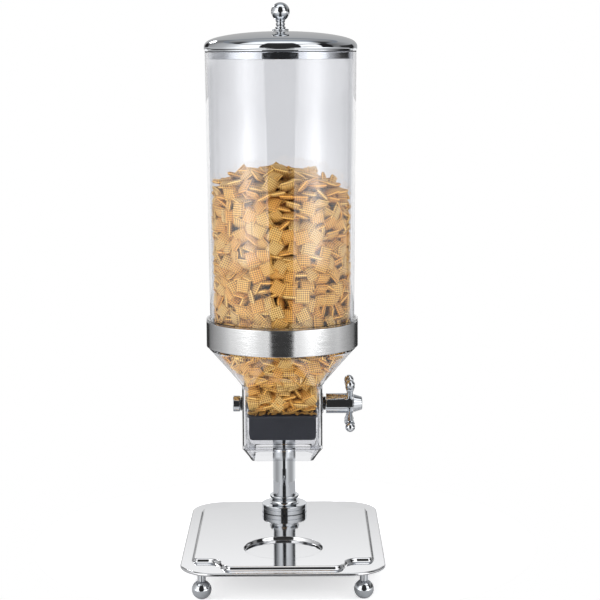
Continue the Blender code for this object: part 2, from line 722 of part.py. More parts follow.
def pole_set():
    """The pole with its flange, neck ring, foot plug, bolt and top cap."""
    place = (0.0, POLE_Y, 0.0)
    outer = POLE_RADIUS + FIT_GAP
    flange_bottom = PANEL_TOP + FIT_GAP
    flange_top = flange_bottom + FLANGE_HEIGHT
    flange_middle = (flange_bottom + flange_top) / 2
    turned("pole_flange", softened_ring([
        (outer, flange_bottom, 0.0),
        (FLANGE_RADIUS, flange_bottom, FLANGE_EDGE),
        (FLANGE_RADIUS, flange_middle - FLANGE_GROOVE, 0.0),
        (FLANGE_RADIUS - FLANGE_GROOVE, flange_middle, 0.0),
        (FLANGE_RADIUS, flange_middle + FLANGE_GROOVE, 0.0),
        (FLANGE_RADIUS, flange_top, FLANGE_EDGE),
        (outer, flange_top, 0.0),
    ]), MEDIUM_STEPS, chrome, stand, place=place, ring=True)

    neck_bottom = flange_top + FIT_GAP
    neck_top = neck_bottom + NECK_RING_HEIGHT
    waist = smooth_path([
        Vector((NECK_RING_RADIUS, neck_bottom)),
        Vector((NECK_RING_WAIST, neck_bottom + NECK_RING_LIP)),
        Vector((NECK_RING_WAIST, neck_top - NECK_RING_LIP * 2)),
        Vector((NECK_RING_RADIUS, neck_top - NECK_RING_LIP)),
    ], 3)
    turned("pole_neck_ring", [
        Vector((outer, neck_bottom)),
        *waist,
        Vector((NECK_RING_RADIUS, neck_top)),
        Vector((outer, neck_top)),
    ], MEDIUM_STEPS, chrome, stand, place=place, ring=True)

    turned("pole", [
        Vector((POLE_BORE_RADIUS, POLE_BOTTOM)),
        Vector((POLE_RADIUS, POLE_BOTTOM)),
        Vector((POLE_RADIUS, POLE_TOP)),
        Vector((POLE_BORE_RADIUS, POLE_TOP)),
    ], MEDIUM_STEPS, chrome, stand, place=place, ring=True)

    plug_radius = POLE_BORE_RADIUS - FIT_GAP
    plug_top = POLE_BOTTOM + PLUG_HEIGHT
    thread = BOLT_RADIUS + FIT_GAP
    turned("pole_plug", [
        Vector((thread, POLE_BOTTOM)),
        Vector((plug_radius, POLE_BOTTOM)),
        Vector((plug_radius, plug_top)),
        Vector((0.0, plug_top)),
        Vector((0.0, plug_top - PLUG_END_WALL)),
        Vector((thread, plug_top - PLUG_END_WALL)),
        Vector((thread, POLE_BOTTOM)),
    ], SMALL_STEPS, steel, stand, place=place)

    washer_top = PANEL_UNDERSIDE - FIT_GAP
    washer_bottom = washer_top - WASHER_THICKNESS
    turned("base_washer", [
        Vector((thread, washer_bottom)),
        Vector((WASHER_RADIUS, washer_bottom)),
        Vector((WASHER_RADIUS, washer_top)),
        Vector((thread, washer_top)),
    ], SMALL_STEPS, steel, stand, place=place, ring=True)

    head_top = washer_bottom - FIT_GAP
    bolt_tip = plug_top - PLUG_END_WALL - BOLT_TIP_GAP
    turned("base_bolt", softened([
        (0.0, head_top - BOLT_HEAD_HEIGHT, 0.0),
        (BOLT_HEAD_RADIUS, head_top - BOLT_HEAD_HEIGHT, BOLT_RADIUS / 5),
        (BOLT_HEAD_RADIUS, head_top, 0.0),
        (BOLT_RADIUS, head_top, 0.0),
        (BOLT_RADIUS, bolt_tip, 0.0),
        (0.0, bolt_tip, 0.0),
    ]), SMALL_STEPS, steel, stand, place=place)

    cap_bottom = POLE_TOP + FIT_GAP
    turned("pole_top_cap", [
        Vector((0.0, cap_bottom - CAP_SPIGOT)),
        Vector((plug_radius, cap_bottom - CAP_SPIGOT)),
        Vector((plug_radius, cap_bottom)),
        *[
            Vector((POLE_RADIUS * math.cos(angle), cap_bottom + CAP_DOME_RISE * math.sin(angle)))
            for angle in [math.pi / 2 * step / PRESS_STEPS for step in range(PRESS_STEPS)]
        ],
        Vector((0.0, cap_bottom + CAP_DOME_RISE)),
    ], MEDIUM_STEPS, chrome, stand, place=place)


def collar_and_arm():
    """The clamp collar on the pole, its screw, and the arm that is welded between collar and ring."""
    outer = POLE_RADIUS + FIT_GAP
    place = (0.0, POLE_Y, 0.0)
    collar = turned("arm_collar", [
        Vector((outer, COLLAR_BOTTOM)),
        Vector((COLLAR_RADIUS, COLLAR_BOTTOM)),
        Vector((COLLAR_RADIUS, COLLAR_TOP)),
        Vector((outer, COLLAR_TOP)),
    ], MEDIUM_STEPS, chrome, stand, place=place, ring=True)
    middle = (COLLAR_BOTTOM + COLLAR_TOP) / 2
    towards_back = (-math.pi / 2, 0.0, 0.0)
    hole = add_cutter(
        "collar_screw_hole",
        cylinder_mesh(
            "collar_screw_hole", SCREW_RADIUS + FIT_GAP, POLE_RADIUS / 2, COLLAR_RADIUS + CUT_OVERRUN, SMALL_STEPS,
        ),
        stand, towards_back, (0.0, POLE_Y, middle),
    )
    boolean(collar, "DIFFERENCE", hole)
    turned("collar_screw", softened([
        (0.0, POLE_RADIUS + FIT_GAP, 0.0),
        (SCREW_RADIUS, POLE_RADIUS + FIT_GAP, 0.0),
        (SCREW_RADIUS, COLLAR_RADIUS + FIT_GAP, 0.0),
        (SCREW_HEAD_RADIUS, COLLAR_RADIUS + FIT_GAP, 0.0),
        (SCREW_HEAD_RADIUS, COLLAR_RADIUS + FIT_GAP + SCREW_HEAD_HEIGHT, SCREW_RADIUS / 5),
        (0.0, COLLAR_RADIUS + FIT_GAP + SCREW_HEAD_HEIGHT, 0.0),
    ]), SMALL_STEPS, steel, stand, towards_back, (0.0, POLE_Y, middle))

    ring_back = CANISTER_Y + RING_RADIUS
    collar_front = POLE_Y - COLLAR_RADIUS
    waist_y = ring_back + (collar_front - ring_back) * ARM_WAIST_SHARE
    right_side = [
        (ARM_HALF_WIDTH_AT_COLLAR, collar_front + CUT_OVERRUN, 0.0),
        (ARM_HALF_WIDTH_AT_COLLAR, collar_front, 0.0),
        (ARM_HALF_WIDTH_AT_WAIST, waist_y, ARM_ROOT_ROUND),
        (ARM_HALF_WIDTH_AT_RING, ring_back - CUT_OVERRUN, 0.0),
    ]
    side = softened(right_side, 4)
    outline = side + [Vector((-point.x, point.y)) for point in reversed(side)]
    arm = add_piece(
        "support_arm", flat_mesh("support_arm", outline, ARM_HEIGHT), brushed, stand, place=(0.0, 0.0, middle),
    )
    for name, radius, y, steps in (
        ("arm_ring_cut", RING_RADIUS + FIT_GAP, CANISTER_Y, LARGE_STEPS * 2),
        ("arm_collar_cut", COLLAR_RADIUS + FIT_GAP, POLE_Y, MEDIUM_STEPS * 2),
    ):
        low = COLLAR_BOTTOM - CUT_OVERRUN
        mesh = cylinder_mesh(name, radius, low, COLLAR_TOP + CUT_OVERRUN, steps)
        boolean(arm, "DIFFERENCE", add_cutter(name, mesh, stand, place=(0.0, y, 0.0)))


def ring_and_tube():
    """The flat ring, the clear tube that stands inside it, and the gasket under the tube."""
    place = (0.0, CANISTER_Y, 0.0)
    inner = RING_RADIUS - RING_WALL
    turned("support_ring", softened_ring([
        (inner, RING_BOTTOM, RING_EDGE),
        (RING_RADIUS, RING_BOTTOM, RING_EDGE),
        (RING_RADIUS, RING_TOP, RING_EDGE),
        (inner, RING_TOP, RING_EDGE),
    ], 1), LARGE_STEPS, brushed, stand, place=place, ring=True)
    turned("canister_tube", softened_ring([
        (TUBE_FOOT_RADIUS - TUBE_WALL, TUBE_BOTTOM, 0.0),
        (TUBE_FOOT_RADIUS, TUBE_BOTTOM, 0.0),
        (TUBE_MOUTH_RADIUS, TUBE_TOP, TUBE_EDGE),
        (TUBE_MOUTH_RADIUS - TUBE_WALL, TUBE_TOP, TUBE_EDGE),
    ]), LARGE_STEPS, clear, stand, place=place, ring=True)
    turned("tube_gasket", [
        Vector((TUBE_FOOT_RADIUS - GASKET_WIDTH, GASKET_TOP - GASKET_THICKNESS)),
        Vector((TUBE_FOOT_RADIUS, GASKET_TOP - GASKET_THICKNESS)),
        Vector((TUBE_FOOT_RADIUS, GASKET_TOP)),
        Vector((TUBE_FOOT_RADIUS - GASKET_WIDTH, GASKET_TOP)),
    ], LARGE_STEPS, clear_seal, stand, place=place, ring=True)


def cone_section(share_down, share_in, inset, z_bottom):
    """One level of the funnel's cone, between its round top and the housing's rounded rectangle."""
    half_width = CONE_TOP_RADIUS + (HOUSING_WIDTH / 2 - CONE_TOP_RADIUS) * share_in
    half_depth = CONE_TOP_RADIUS + (HOUSING_DEPTH / 2 - CONE_TOP_RADIUS) * share_in
    corner = CONE_TOP_RADIUS + (HOUSING_CORNER - CONE_TOP_RADIUS) * share_in
    z = CONE_TOP + (z_bottom - CONE_TOP) * share_down
    return section(half_width - inset, half_depth - inset, corner - inset, z)


def hopper_funnel():
    """The clear funnel: a lip on the ring, a rim and ledge for the tube, and a cone down to the housing."""
    outside = [
        circle(LIP_RADIUS, FUNNEL_LIP_TOP),
        circle(LIP_RADIUS, FUNNEL_LIP_BOTTOM),
        circle(RIM_OUTER_RADIUS, FUNNEL_LIP_BOTTOM),
    ]
    outside += [cone_section(down, into, 0.0, FUNNEL_BOTTOM) for down, into in CONE_SHARES]
    half_wall = HOUSING_WALL / 2 + FIT_GAP
    spigot_low = FUNNEL_BOTTOM - SPIGOT_HEIGHT
    spigot = [
        section(HOUSING_WIDTH / 2 - half_wall, HOUSING_DEPTH / 2 - half_wall, HOUSING_CORNER - half_wall, z)
        for z in (FUNNEL_BOTTOM, spigot_low)
    ]
    inside = [cone_section(1.0, 1.0, HOUSING_WALL, spigot_low)]
    inside += [cone_section(down, into, FUNNEL_WALL, FUNNEL_BOTTOM) for down, into in reversed(CONE_SHARES)]
    ledge = [
        circle(LEDGE_RADIUS, LEDGE_TOP),
        circle(RIM_INNER_RADIUS, LEDGE_TOP),
        circle(RIM_INNER_RADIUS, FUNNEL_LIP_TOP),
    ]
    lofted_shell("hopper_funnel", outside + spigot + inside + ledge, clear, stand, (0.0, CANISTER_Y, 0.0))


def valve_housing():
    """The clear box round the rotor, with a boss on the handle's side and bores for both bushes."""
    half_width = HOUSING_WIDTH / 2
    half_depth = HOUSING_DEPTH / 2

    def level(inset, z):
        return section(half_width - inset, half_depth - inset, HOUSING_CORNER - inset, z)

    half_wall = HOUSING_WALL / 2
    rebate = SPIGOT_HEIGHT + FIT_GAP
    housing = lofted_shell("valve_housing", [
        level(0.0, HOUSING_TOP),
        level(0.0, HOUSING_BOTTOM),
        level(half_wall, HOUSING_BOTTOM),
        level(half_wall, HOUSING_BOTTOM + rebate),
        level(HOUSING_WALL, HOUSING_BOTTOM + rebate),
        level(HOUSING_WALL, HOUSING_TOP - rebate),
        level(half_wall, HOUSING_TOP - rebate),
        level(half_wall, HOUSING_TOP),
    ], clear, stand, (0.0, CANISTER_Y, 0.0))
    along_x = (0.0, math.pi / 2, 0.0)
    place = (0.0, CANISTER_Y, AXIS_Z)
    boss = cylinder_mesh(
        "housing_boss", BOSS_RADIUS, half_width - half_wall, half_width + BOSS_HEIGHT, MEDIUM_STEPS,
    )
    boolean(housing, "UNION", add_cutter("housing_boss", boss, stand, along_x, place))
    end = RIGHT_BOSS_FACE + CUT_OVERRUN
    bore = cylinder_mesh("bush_bore", BUSH_RADIUS + FIT_GAP, -end, end, SMALL_STEPS)
    boolean(housing, "DIFFERENCE", add_cutter("bush_bore", bore, stand, along_x, place))


def outlet_spout():
    """The clear outlet: a skirt that narrows below the housing and guides the cereal into the bowl."""
    half_wall = HOUSING_WALL / 2 + FIT_GAP
    top = HOUSING_BOTTOM - FIT_GAP
    spigot_top = top + SPIGOT_HEIGHT

    def upper(inset, z):
        return section(HOUSING_WIDTH / 2 - inset, HOUSING_DEPTH / 2 - inset, HOUSING_CORNER - inset, z)

    def lower(inset):
        return section(SPOUT_WIDTH / 2 - inset, SPOUT_DEPTH / 2 - inset, SPOUT_CORNER - inset, SPOUT_BOTTOM)

    lofted_shell("outlet_spout", [
        upper(half_wall, spigot_top),
        upper(half_wall, top),
        upper(0.0, top),
        lower(0.0),
        lower(HOUSING_WALL),
        upper(HOUSING_WALL, top),
        upper(HOUSING_WALL, spigot_top),
    ], clear, stand, (0.0, CANISTER_Y, 0.0))


def bushes():
    """Flanged bushes in both walls of the housing. Their profiles run along the rotor's axis."""
    place = (0.0, CANISTER_Y, AXIS_Z)
    bore = SHAFT_RADIUS + FIT_GAP
    inner_end = HOUSING_WIDTH / 2 - HOUSING_WALL - BUSH_REACH
    for name, face, flange, turn in (
        ("bush_right", RIGHT_BOSS_FACE + FIT_GAP, RIGHT_FLANGE, math.pi / 2),
        ("bush_left", HOUSING_WIDTH / 2 + FIT_GAP, LEFT_FLANGE, -math.pi / 2),
    ):
        turned(name, [
            Vector((bore, inner_end)),
            Vector((BUSH_RADIUS, inner_end)),
            Vector((BUSH_RADIUS, face)),
            Vector((BUSH_FLANGE_RADIUS, face)),
            Vector((BUSH_FLANGE_RADIUS, face + flange)),
            Vector((bore, face + flange)),
        ], SMALL_STEPS, black, stand, (0.0, turn, 0.0), place, ring=True)


def rotor_core():
    """The shaft, the slotted hub and the rubber vanes in its slots."""
    along_x = (0.0, math.pi / 2, 0.0)
    turned("rotor_shaft", [
        Vector((0.0, SHAFT_LEFT_END)),
        Vector((SHAFT_RADIUS, SHAFT_LEFT_END)),
        Vector((SHAFT_RADIUS, SHAFT_RIGHT_END)),
        Vector((0.0, SHAFT_RIGHT_END)),
    ], SMALL_STEPS, steel, rotor_axis, along_x)
    half = VANE_WIDTH / 2
    hub = turned("rotor_hub", [
        Vector((SHAFT_RADIUS + FIT_GAP, -half)),
        Vector((HUB_RADIUS, -half)),
        Vector((HUB_RADIUS, half)),
        Vector((SHAFT_RADIUS + FIT_GAP, half)),
    ], MEDIUM_STEPS, dark_plastic, rotor_axis, along_x, ring=True)
    root_round = VANE_THICKNESS / 5
    outline = [point for point, normal in rounded_loop([
        (half, VANE_ROOT_RADIUS, root_round),
        (half, VANE_RADIUS, VANE_CORNER),
        (-half, VANE_RADIUS, VANE_CORNER),
        (-half, VANE_ROOT_RADIUS, root_round),
    ], 4)]
    slot_half = VANE_THICKNESS / 2 + FIT_GAP
    for number in range(VANE_COUNT):
        angle = VANE_REST_ANGLE + 2 * math.pi * number / VANE_COUNT
        turn = (math.pi / 2 - angle, 0.0, 0.0)
        name = f"hub_slot_{number + 1}"
        slot = box_mesh(
            name,
            (-half - CUT_OVERRUN, SLOT_FLOOR_RADIUS, -slot_half),
            (half + CUT_OVERRUN, HUB_RADIUS + CUT_OVERRUN, slot_half),
        )
        boolean(hub, "DIFFERENCE", add_cutter(name, slot, rotor_axis, turn))
        name = f"rotor_vane_{number + 1}"
        add_piece(name, flat_mesh(name, outline, VANE_THICKNESS), rubber, rotor_axis, turn)


def shaft_end():
    """The round nut and washer on the shaft's left end."""
    towards_left = (0.0, -math.pi / 2, 0.0)
    bore = SHAFT_RADIUS + FIT_GAP
    washer_face = -LEFT_BUSH_FACE + FIT_GAP
    turned("axle_washer", [
        Vector((bore, washer_face)),
        Vector((AXLE_WASHER_RADIUS, washer_face)),
        Vector((AXLE_WASHER_RADIUS, washer_face + AXLE_WASHER_THICKNESS)),
        Vector((bore, washer_face + AXLE_WASHER_THICKNESS)),
    ], SMALL_STEPS, black, rotor_axis, towards_left, ring=True)
    inner = -NUT_START
    outer = -NUT_END
    turned("axle_nut", softened([
        (0.0, outer - NUT_END_WALL, 0.0),
        (bore, outer - NUT_END_WALL, 0.0),
        (bore, inner, 0.0),
        (NUT_RADIUS - NUT_CHAMFER, inner, 0.0),
        (NUT_RADIUS, inner + NUT_CHAMFER, 0.0),
        (NUT_RADIUS, outer, NUT_CHAMFER / 2),
        (0.0, outer, 0.0),
    ]), MEDIUM_STEPS, chrome, rotor_axis, towards_left)


def handle():
    """The cross handle: a barrel, four flared spokes that end in balls, and a conical cap."""
    along_x = (0.0, math.pi / 2, 0.0)
    bore = SHAFT_RADIUS + FIT_GAP
    barrel = turned("handle_hub", softened_ring([
        (bore, BARREL_START, 0.0),
        (BARREL_RADIUS, BARREL_START, BARREL_EDGE),
        (BARREL_RADIUS, BARREL_END, BARREL_EDGE),
        (bore, BARREL_END, 0.0),
    ], 1), MEDIUM_STEPS, chrome, rotor_axis, along_x, ring=True)
    turned("handle_cap", softened([
        (0.0, HANDLE_CAP_END - HANDLE_CAP_END_WALL, 0.0),
        (bore, HANDLE_CAP_END - HANDLE_CAP_END_WALL, 0.0),
        (bore, HANDLE_CAP_START, 0.0),
        (HANDLE_CAP_BASE_RADIUS, HANDLE_CAP_START, 0.0),
        (HANDLE_CAP_TIP_RADIUS, HANDLE_CAP_END, HANDLE_CAP_ROUND),
        (0.0, HANDLE_CAP_END, 0.0),
    ]), MEDIUM_STEPS, chrome, rotor_axis, along_x)

    seat = HANDLE_BALL_RADIUS + FIT_GAP
    seat_edge = math.degrees(math.asin((HANDLE_BALL_CENTRE - SPOKE_FLARE_END) / seat))
    seat_floor = math.degrees(math.acos(BALL_STUD_RADIUS / seat))
    stud_end = HANDLE_BALL_CENTRE - FIT_GAP
    flare = smooth_path([
        Vector((SPOKE_ROOT_RADIUS, BARREL_RADIUS + SPOKE_ROOT_RADIUS / 2)),
        Vector((SPOKE_ROOT_RADIUS * 1.45, (BARREL_RADIUS + SPOKE_FLARE_END) / 2)),
        Vector((SPOKE_FLARE_RADIUS, SPOKE_FLARE_END - SPOKE_RIM_EDGE)),
    ], 2)
    spoke_profile = [
        Vector((0.0, SPOKE_HOLE_FLOOR + FIT_GAP)),
        Vector((SPOKE_ROOT_RADIUS, SPOKE_HOLE_FLOOR + FIT_GAP)),
        *flare,
        Vector((SPOKE_FLARE_RADIUS - SPOKE_RIM_EDGE, SPOKE_FLARE_END)),
        *arc_points(0.0, HANDLE_BALL_CENTRE, seat, -seat_edge, -seat_floor, 2),
        Vector((BALL_STUD_RADIUS, stud_end)),
        Vector((0.0, stud_end)),
    ]
    ball_bore = BALL_STUD_RADIUS + FIT_GAP
    bore_edge = math.degrees(math.acos(ball_bore / HANDLE_BALL_RADIUS))
    ball_profile = [
        Vector((0.0, HANDLE_BALL_CENTRE)),
        Vector((ball_bore, HANDLE_BALL_CENTRE)),
        *arc_points(0.0, HANDLE_BALL_CENTRE, HANDLE_BALL_RADIUS, -bore_edge, 90.0, BALL_STEPS),
    ]
    ball_profile[-1].x = 0.0
    place = (SPOKE_PLANE_X, 0.0, 0.0)
    for number in range(SPOKE_COUNT):
        angle = SPOKE_REST_ANGLE + 2 * math.pi * number / SPOKE_COUNT
        turn = (-angle, 0.0, 0.0)
        name = f"spoke_hole_{number + 1}"
        hole = cylinder_mesh(
            name, SPOKE_ROOT_RADIUS + FIT_GAP, SPOKE_HOLE_FLOOR, BARREL_RADIUS + CUT_OVERRUN, SMALL_STEPS,
        )
        boolean(barrel, "DIFFERENCE", add_cutter(name, hole, rotor_axis, turn, place))
        turned(f"handle_spoke_{number + 1}", spoke_profile, SMALL_STEPS, chrome, rotor_axis, turn, place)
        turned(f"handle_ball_{number + 1}", ball_profile, SMALL_STEPS, chrome, rotor_axis, turn, place)


def lid():
    """The pressed dome with its seal, skirt and ball knob, in the frame of the lid's own empty."""
    hole = KNOB_SCREW_RADIUS + FIT_GAP
    height = LID_APEX - LID_RIM_BOTTOM
    dome = [
        Vector((hole, LID_APEX)),
        *[Vector((LID_RADIUS * out, LID_RIM_BOTTOM + height * up)) for out, up in LID_SHARES],
        Vector((LID_RIM_INNER_RADIUS, LID_RIM_BOTTOM)),
    ]
    piece = turned("lid_dome", dome, LARGE_STEPS, chrome, lid_base)
    solidify = piece.modifiers.new("sheet", "SOLIDIFY")
    solidify.thickness = LID_SHEET
    solidify.offset = -1.0
    solidify.use_even_offset = True

    turned("lid_seal", [
        Vector((SEAL_INNER_RADIUS, SEAL_BOTTOM)),
        Vector((SEAL_OUTER_RADIUS, SEAL_BOTTOM)),
        Vector((SEAL_OUTER_RADIUS, SEAL_TOP)),
        Vector((SEAL_INNER_RADIUS, SEAL_TOP)),
    ], LARGE_STEPS, rubber, lid_base, ring=True)

    flange_bottom = LID_RIM_BOTTOM + LID_SHEET + FIT_GAP
    turned("lid_skirt", [
        Vector((SKIRT_RADIUS - SKIRT_WALL, SKIRT_BOTTOM)),
        Vector((SKIRT_RADIUS, SKIRT_BOTTOM)),
        Vector((SKIRT_RADIUS, flange_bottom)),
        Vector((SKIRT_FLANGE_RADIUS, flange_bottom)),
        Vector((SKIRT_FLANGE_RADIUS, flange_bottom + SKIRT_WALL)),
        Vector((SKIRT_RADIUS - SKIRT_WALL, flange_bottom + SKIRT_WALL)),
    ], LARGE_STEPS, chrome, lid_base, ring=True)

    foot_bottom = LID_APEX + FIT_GAP
    ball_centre = KNOB_TOP - KNOB_BALL_RADIUS
    neck_angle = math.degrees(math.acos(KNOB_NECK_RADIUS / KNOB_BALL_RADIUS))
    foot_top = foot_bottom + KNOB_FOOT_EDGE * 2
    bead_middle = foot_top + KNOB_BEAD_HALF_HEIGHT * 2
    bore_top = foot_bottom + KNOB_SCREW_DEPTH
    knob = [
        Vector((0.0, bore_top)),
        Vector((hole, bore_top)),
        Vector((hole, foot_bottom)),
        *arc_points(
            KNOB_FOOT_RADIUS - KNOB_FOOT_EDGE, foot_bottom + KNOB_FOOT_EDGE, KNOB_FOOT_EDGE, -90.0, 90.0, 4,
        ),
        Vector((KNOB_WAIST_RADIUS, foot_top + KNOB_BEAD_HALF_HEIGHT)),
        Vector((KNOB_BEAD_RADIUS, bead_middle)),
        Vector((KNOB_NECK_RADIUS, bead_middle + KNOB_BEAD_HALF_HEIGHT)),
        *arc_points(0.0, ball_centre, KNOB_BALL_RADIUS, -neck_angle, 90.0, BALL_STEPS),
    ]
    knob[-1].x = 0.0
    turned("lid_knob", knob, MEDIUM_STEPS, chrome, lid_base)

    washer_top = LID_APEX - LID_SHEET - FIT_GAP
    washer_bottom = washer_top - KNOB_WASHER_THICKNESS
    turned("knob_washer", [
        Vector((hole, washer_bottom)),
        Vector((KNOB_WASHER_RADIUS, washer_bottom)),
        Vector((KNOB_WASHER_RADIUS, washer_top)),
        Vector((hole, washer_top)),
    ], SMALL_STEPS, steel, lid_base, ring=True)
    head_top = washer_bottom - FIT_GAP
    turned("knob_screw", [
        Vector((0.0, head_top - KNOB_SCREW_HEAD_HEIGHT)),
        Vector((KNOB_SCREW_HEAD_RADIUS, head_top - KNOB_SCREW_HEAD_HEIGHT)),
        Vector((KNOB_SCREW_HEAD_RADIUS, head_top)),
        Vector((KNOB_SCREW_RADIUS, head_top)),
        Vector((KNOB_SCREW_RADIUS, bore_top - FIT_GAP)),
        Vector((0.0, bore_top - FIT_GAP)),
    ], SMALL_STEPS, steel, lid_base)


for old in list(bpy.data.objects):
    bpy.data.objects.remove(old)

parts = make_collection("cereal_dispenser")
cutters = make_collection("cutters")

chrome = material("chrome", (0.78, 0.79, 0.80), 1.0, 0.06)
polished = material("polished_steel", (0.80, 0.80, 0.81), 1.0, 0.18)
brushed = material("brushed_steel", (0.74, 0.75, 0.77), 1.0, 0.34)
steel = material("zinc_steel", (0.55, 0.56, 0.58), 1.0, 0.35)
clear = material("clear_plastic", (0.93, 0.94, 0.96), 0.0, 0.04, alpha=0.35, transmission=1.0)
clear_seal = material("clear_silicone", (0.86, 0.87, 0.88), 0.0, 0.45, alpha=0.6)
rubber = material("dark_rubber", (0.05, 0.055, 0.07), 0.0, 0.55)
dark_plastic = material("dark_plastic", (0.07, 0.07, 0.08), 0.0, 0.40)
black = material("black_plastic", (0.02, 0.02, 0.02), 0.0, 0.35)

stand = add_empty("stand_base", (0.0, 0.0, 0.0))
lid_base = add_empty("lid_base", (0.0, CANISTER_Y, 0.0))
rotor_axis = add_empty("rotor_axis", (0.0, CANISTER_Y, AXIS_Z))

base_plate()
feet()
pole_set()
collar_and_arm()
ring_and_tube()
hopper_funnel()
valve_housing()
outlet_spout()
bushes()
rotor_core()
shaft_end()
handle()
lid()
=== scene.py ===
# %% [markdown]
# # A cereal dispenser, dressed over its solids
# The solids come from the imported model, in metres, with Z up. This lesson lights them like a product
# photograph, gives each surface a finish made of nodes, and turns finer shapes over the plain ones where a
# mirror finish would show their facets. The cereal in the canister is made last.

# %% Load the solids
import json
import math
import random

import bmesh
import bpy
import numpy
from mathutils import Matrix, Vector
from mathutils.geometry import tessellate_polygon


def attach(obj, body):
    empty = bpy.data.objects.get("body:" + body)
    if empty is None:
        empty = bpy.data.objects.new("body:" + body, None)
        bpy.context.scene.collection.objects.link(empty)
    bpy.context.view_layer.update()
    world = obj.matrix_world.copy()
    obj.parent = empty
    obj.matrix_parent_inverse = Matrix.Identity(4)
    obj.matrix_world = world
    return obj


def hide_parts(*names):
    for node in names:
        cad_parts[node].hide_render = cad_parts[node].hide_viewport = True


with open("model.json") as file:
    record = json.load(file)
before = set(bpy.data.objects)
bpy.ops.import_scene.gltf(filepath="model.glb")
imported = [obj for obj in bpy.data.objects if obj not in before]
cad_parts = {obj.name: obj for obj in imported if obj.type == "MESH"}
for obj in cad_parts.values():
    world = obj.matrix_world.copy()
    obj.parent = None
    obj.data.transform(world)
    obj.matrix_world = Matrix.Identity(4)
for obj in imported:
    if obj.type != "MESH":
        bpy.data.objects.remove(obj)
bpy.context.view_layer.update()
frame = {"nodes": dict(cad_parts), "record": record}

# %% [markdown]
# ## Camera
# The photograph was taken from near the height of the lid with a long lens, looking down by eight degrees,
# a little right of the middle. Lens, tilt and height were worked out from the round parts, whose circles
# flatten by known amounts. A roll of a quarter of a degree makes the dispenser lean as it does in the
# picture.

# %% Place the camera
CAMERA_PLACE = Vector((0.02, -1.947, 0.5875))
CAMERA_TILT, CAMERA_ROLL = math.radians(81.8), math.radians(-0.25)
LENS_MM, SENSOR_MM = 103.74, 36.0


def put_in_scene(name, data):
    """Makes an object of a camera, a lamp or a mesh."""
    made = bpy.data.objects.new(name, data)
    bpy.context.scene.collection.objects.link(made)
    return made


camera_data = bpy.data.cameras.new("camera")
camera_data.lens = LENS_MM
camera_data.sensor_width = SENSOR_MM
camera = put_in_scene("camera", camera_data)
tilted = Matrix.Translation(CAMERA_PLACE) @ Matrix.Rotation(CAMERA_TILT, 4, "X")
camera.matrix_world = tilted @ Matrix.Rotation(CAMERA_ROLL, 4, "Z")
bpy.context.scene.camera = camera
bpy.context.scene.view_settings.view_transform = "Standard"
print("lens:", LENS_MM, "mm, tilt:", round(math.degrees(CAMERA_TILT) - 90, 1), "degrees")

# %% [markdown]
# ## Nodes by name
# The room, the finishes and the cereal are all trees of nodes. A few helpers make them readable in code:
# one adds a node with its settings and inputs, others stand for the kinds used most, and the last sets a
# whole tree out in columns, so that it can be read in the node editor too.

# %% Short ways to make nodes
def node(tree, kind, *settings, **inputs):
    """Adds a node with (name, value) settings. Its inputs go by name, or by i and a number, and take a plain
    value, a socket, or a node, which stands for its first output."""
    made = tree.nodes.new(kind)
    for name, value in settings:
        setattr(made, name, value)
    for name, value in inputs.items():
        by_number = name[0] == "i" and name[1:].isdigit()
        socket = made.inputs[int(name[1:]) if by_number else name.replace("_", " ")]
        if isinstance(value, bpy.types.Node):
            value = value.outputs[0]
        if isinstance(value, bpy.types.NodeSocket):
            tree.links.new(value, socket)
        else:
            socket.default_value = value
    return made


def maths(tree, operation, first, second=0.0, third=None):
    """One step of arithmetic. MULTIPLY_ADD takes a third value."""
    inputs = {"i0": first, "i1": second} if third is None else {"i0": first, "i1": second, "i2": third}
    return node(tree, "ShaderNodeMath", ("operation", operation), **inputs)


def map_range(tree, value, start, end, low=0.0, high=1.0, way="LINEAR"):
    """Goes from low to high as a value goes from start to end."""
    return node(
        tree, "ShaderNodeMapRange", ("interpolation_type", way),
        Value=value, From_Min=start, From_Max=end, To_Min=low, To_Max=high,
    )


def passes(tree, value, start, end):
    """Goes smoothly from 0 to 1 as a value goes from start to end."""
    return map_range(tree, value, start, end, way="SMOOTHSTEP")


def blend_of(tree, factor, *ends):
    """A colour between two colours, plain or made by nodes."""
    first, second = [(*end, 1.0) if isinstance(end, tuple) else end for end in ends]
    return node(tree, "ShaderNodeMix", ("data_type", "RGBA"), i0=factor, i6=first, i7=second).outputs[2]


def ramp(tree, factor, stops):
    """A colour ramp from (place, grey or colour) stops."""
    made = node(tree, "ShaderNodeValToRGB", Fac=factor)
    elements = made.color_ramp.elements
    while len(elements) > 1:
        elements.remove(elements[0])
    for index, (place, colour) in enumerate(stops):
        element = elements[0] if index == 0 else elements.new(place)
        element.position = place
        element.color = (*colour, 1.0) if isinstance(colour, tuple) else (colour, colour, colour, 1.0)
    return made.outputs["Color"]


print("short ways to add: node, maths, map_range, passes, blend_of, ramp")

# %% Set a tree out in columns
COLUMN_STEP, ROW_STEP = 220, 260


def lay_out(tree):
    """Sets the nodes out in columns, each node left of all that it feeds."""
    fed, depths, rows = {}, {}, {}
    for link in tree.links:
        fed.setdefault(link.from_node.name, set()).add(link.to_node.name)

    def depth(name):
        if name not in depths:
            depths[name] = max((depth(after) + 1 for after in fed.get(name, ())), default=0)
        return depths[name]

    for made in tree.nodes:
        column = depth(made.name)
        rows[column] = rows.get(column, 0) + 1
        made.location = (-COLUMN_STEP * column, -ROW_STEP * rows[column])
    print("nodes set out:", len(tree.nodes), "in", len(rows), "columns")


def cleared_tree(owner):
    """The node tree of a new world or material, emptied."""
    owner.use_nodes = True
    owner.node_tree.nodes.clear()
    return owner.node_tree


print("columns in the node editor are", COLUMN_STEP, "apart")

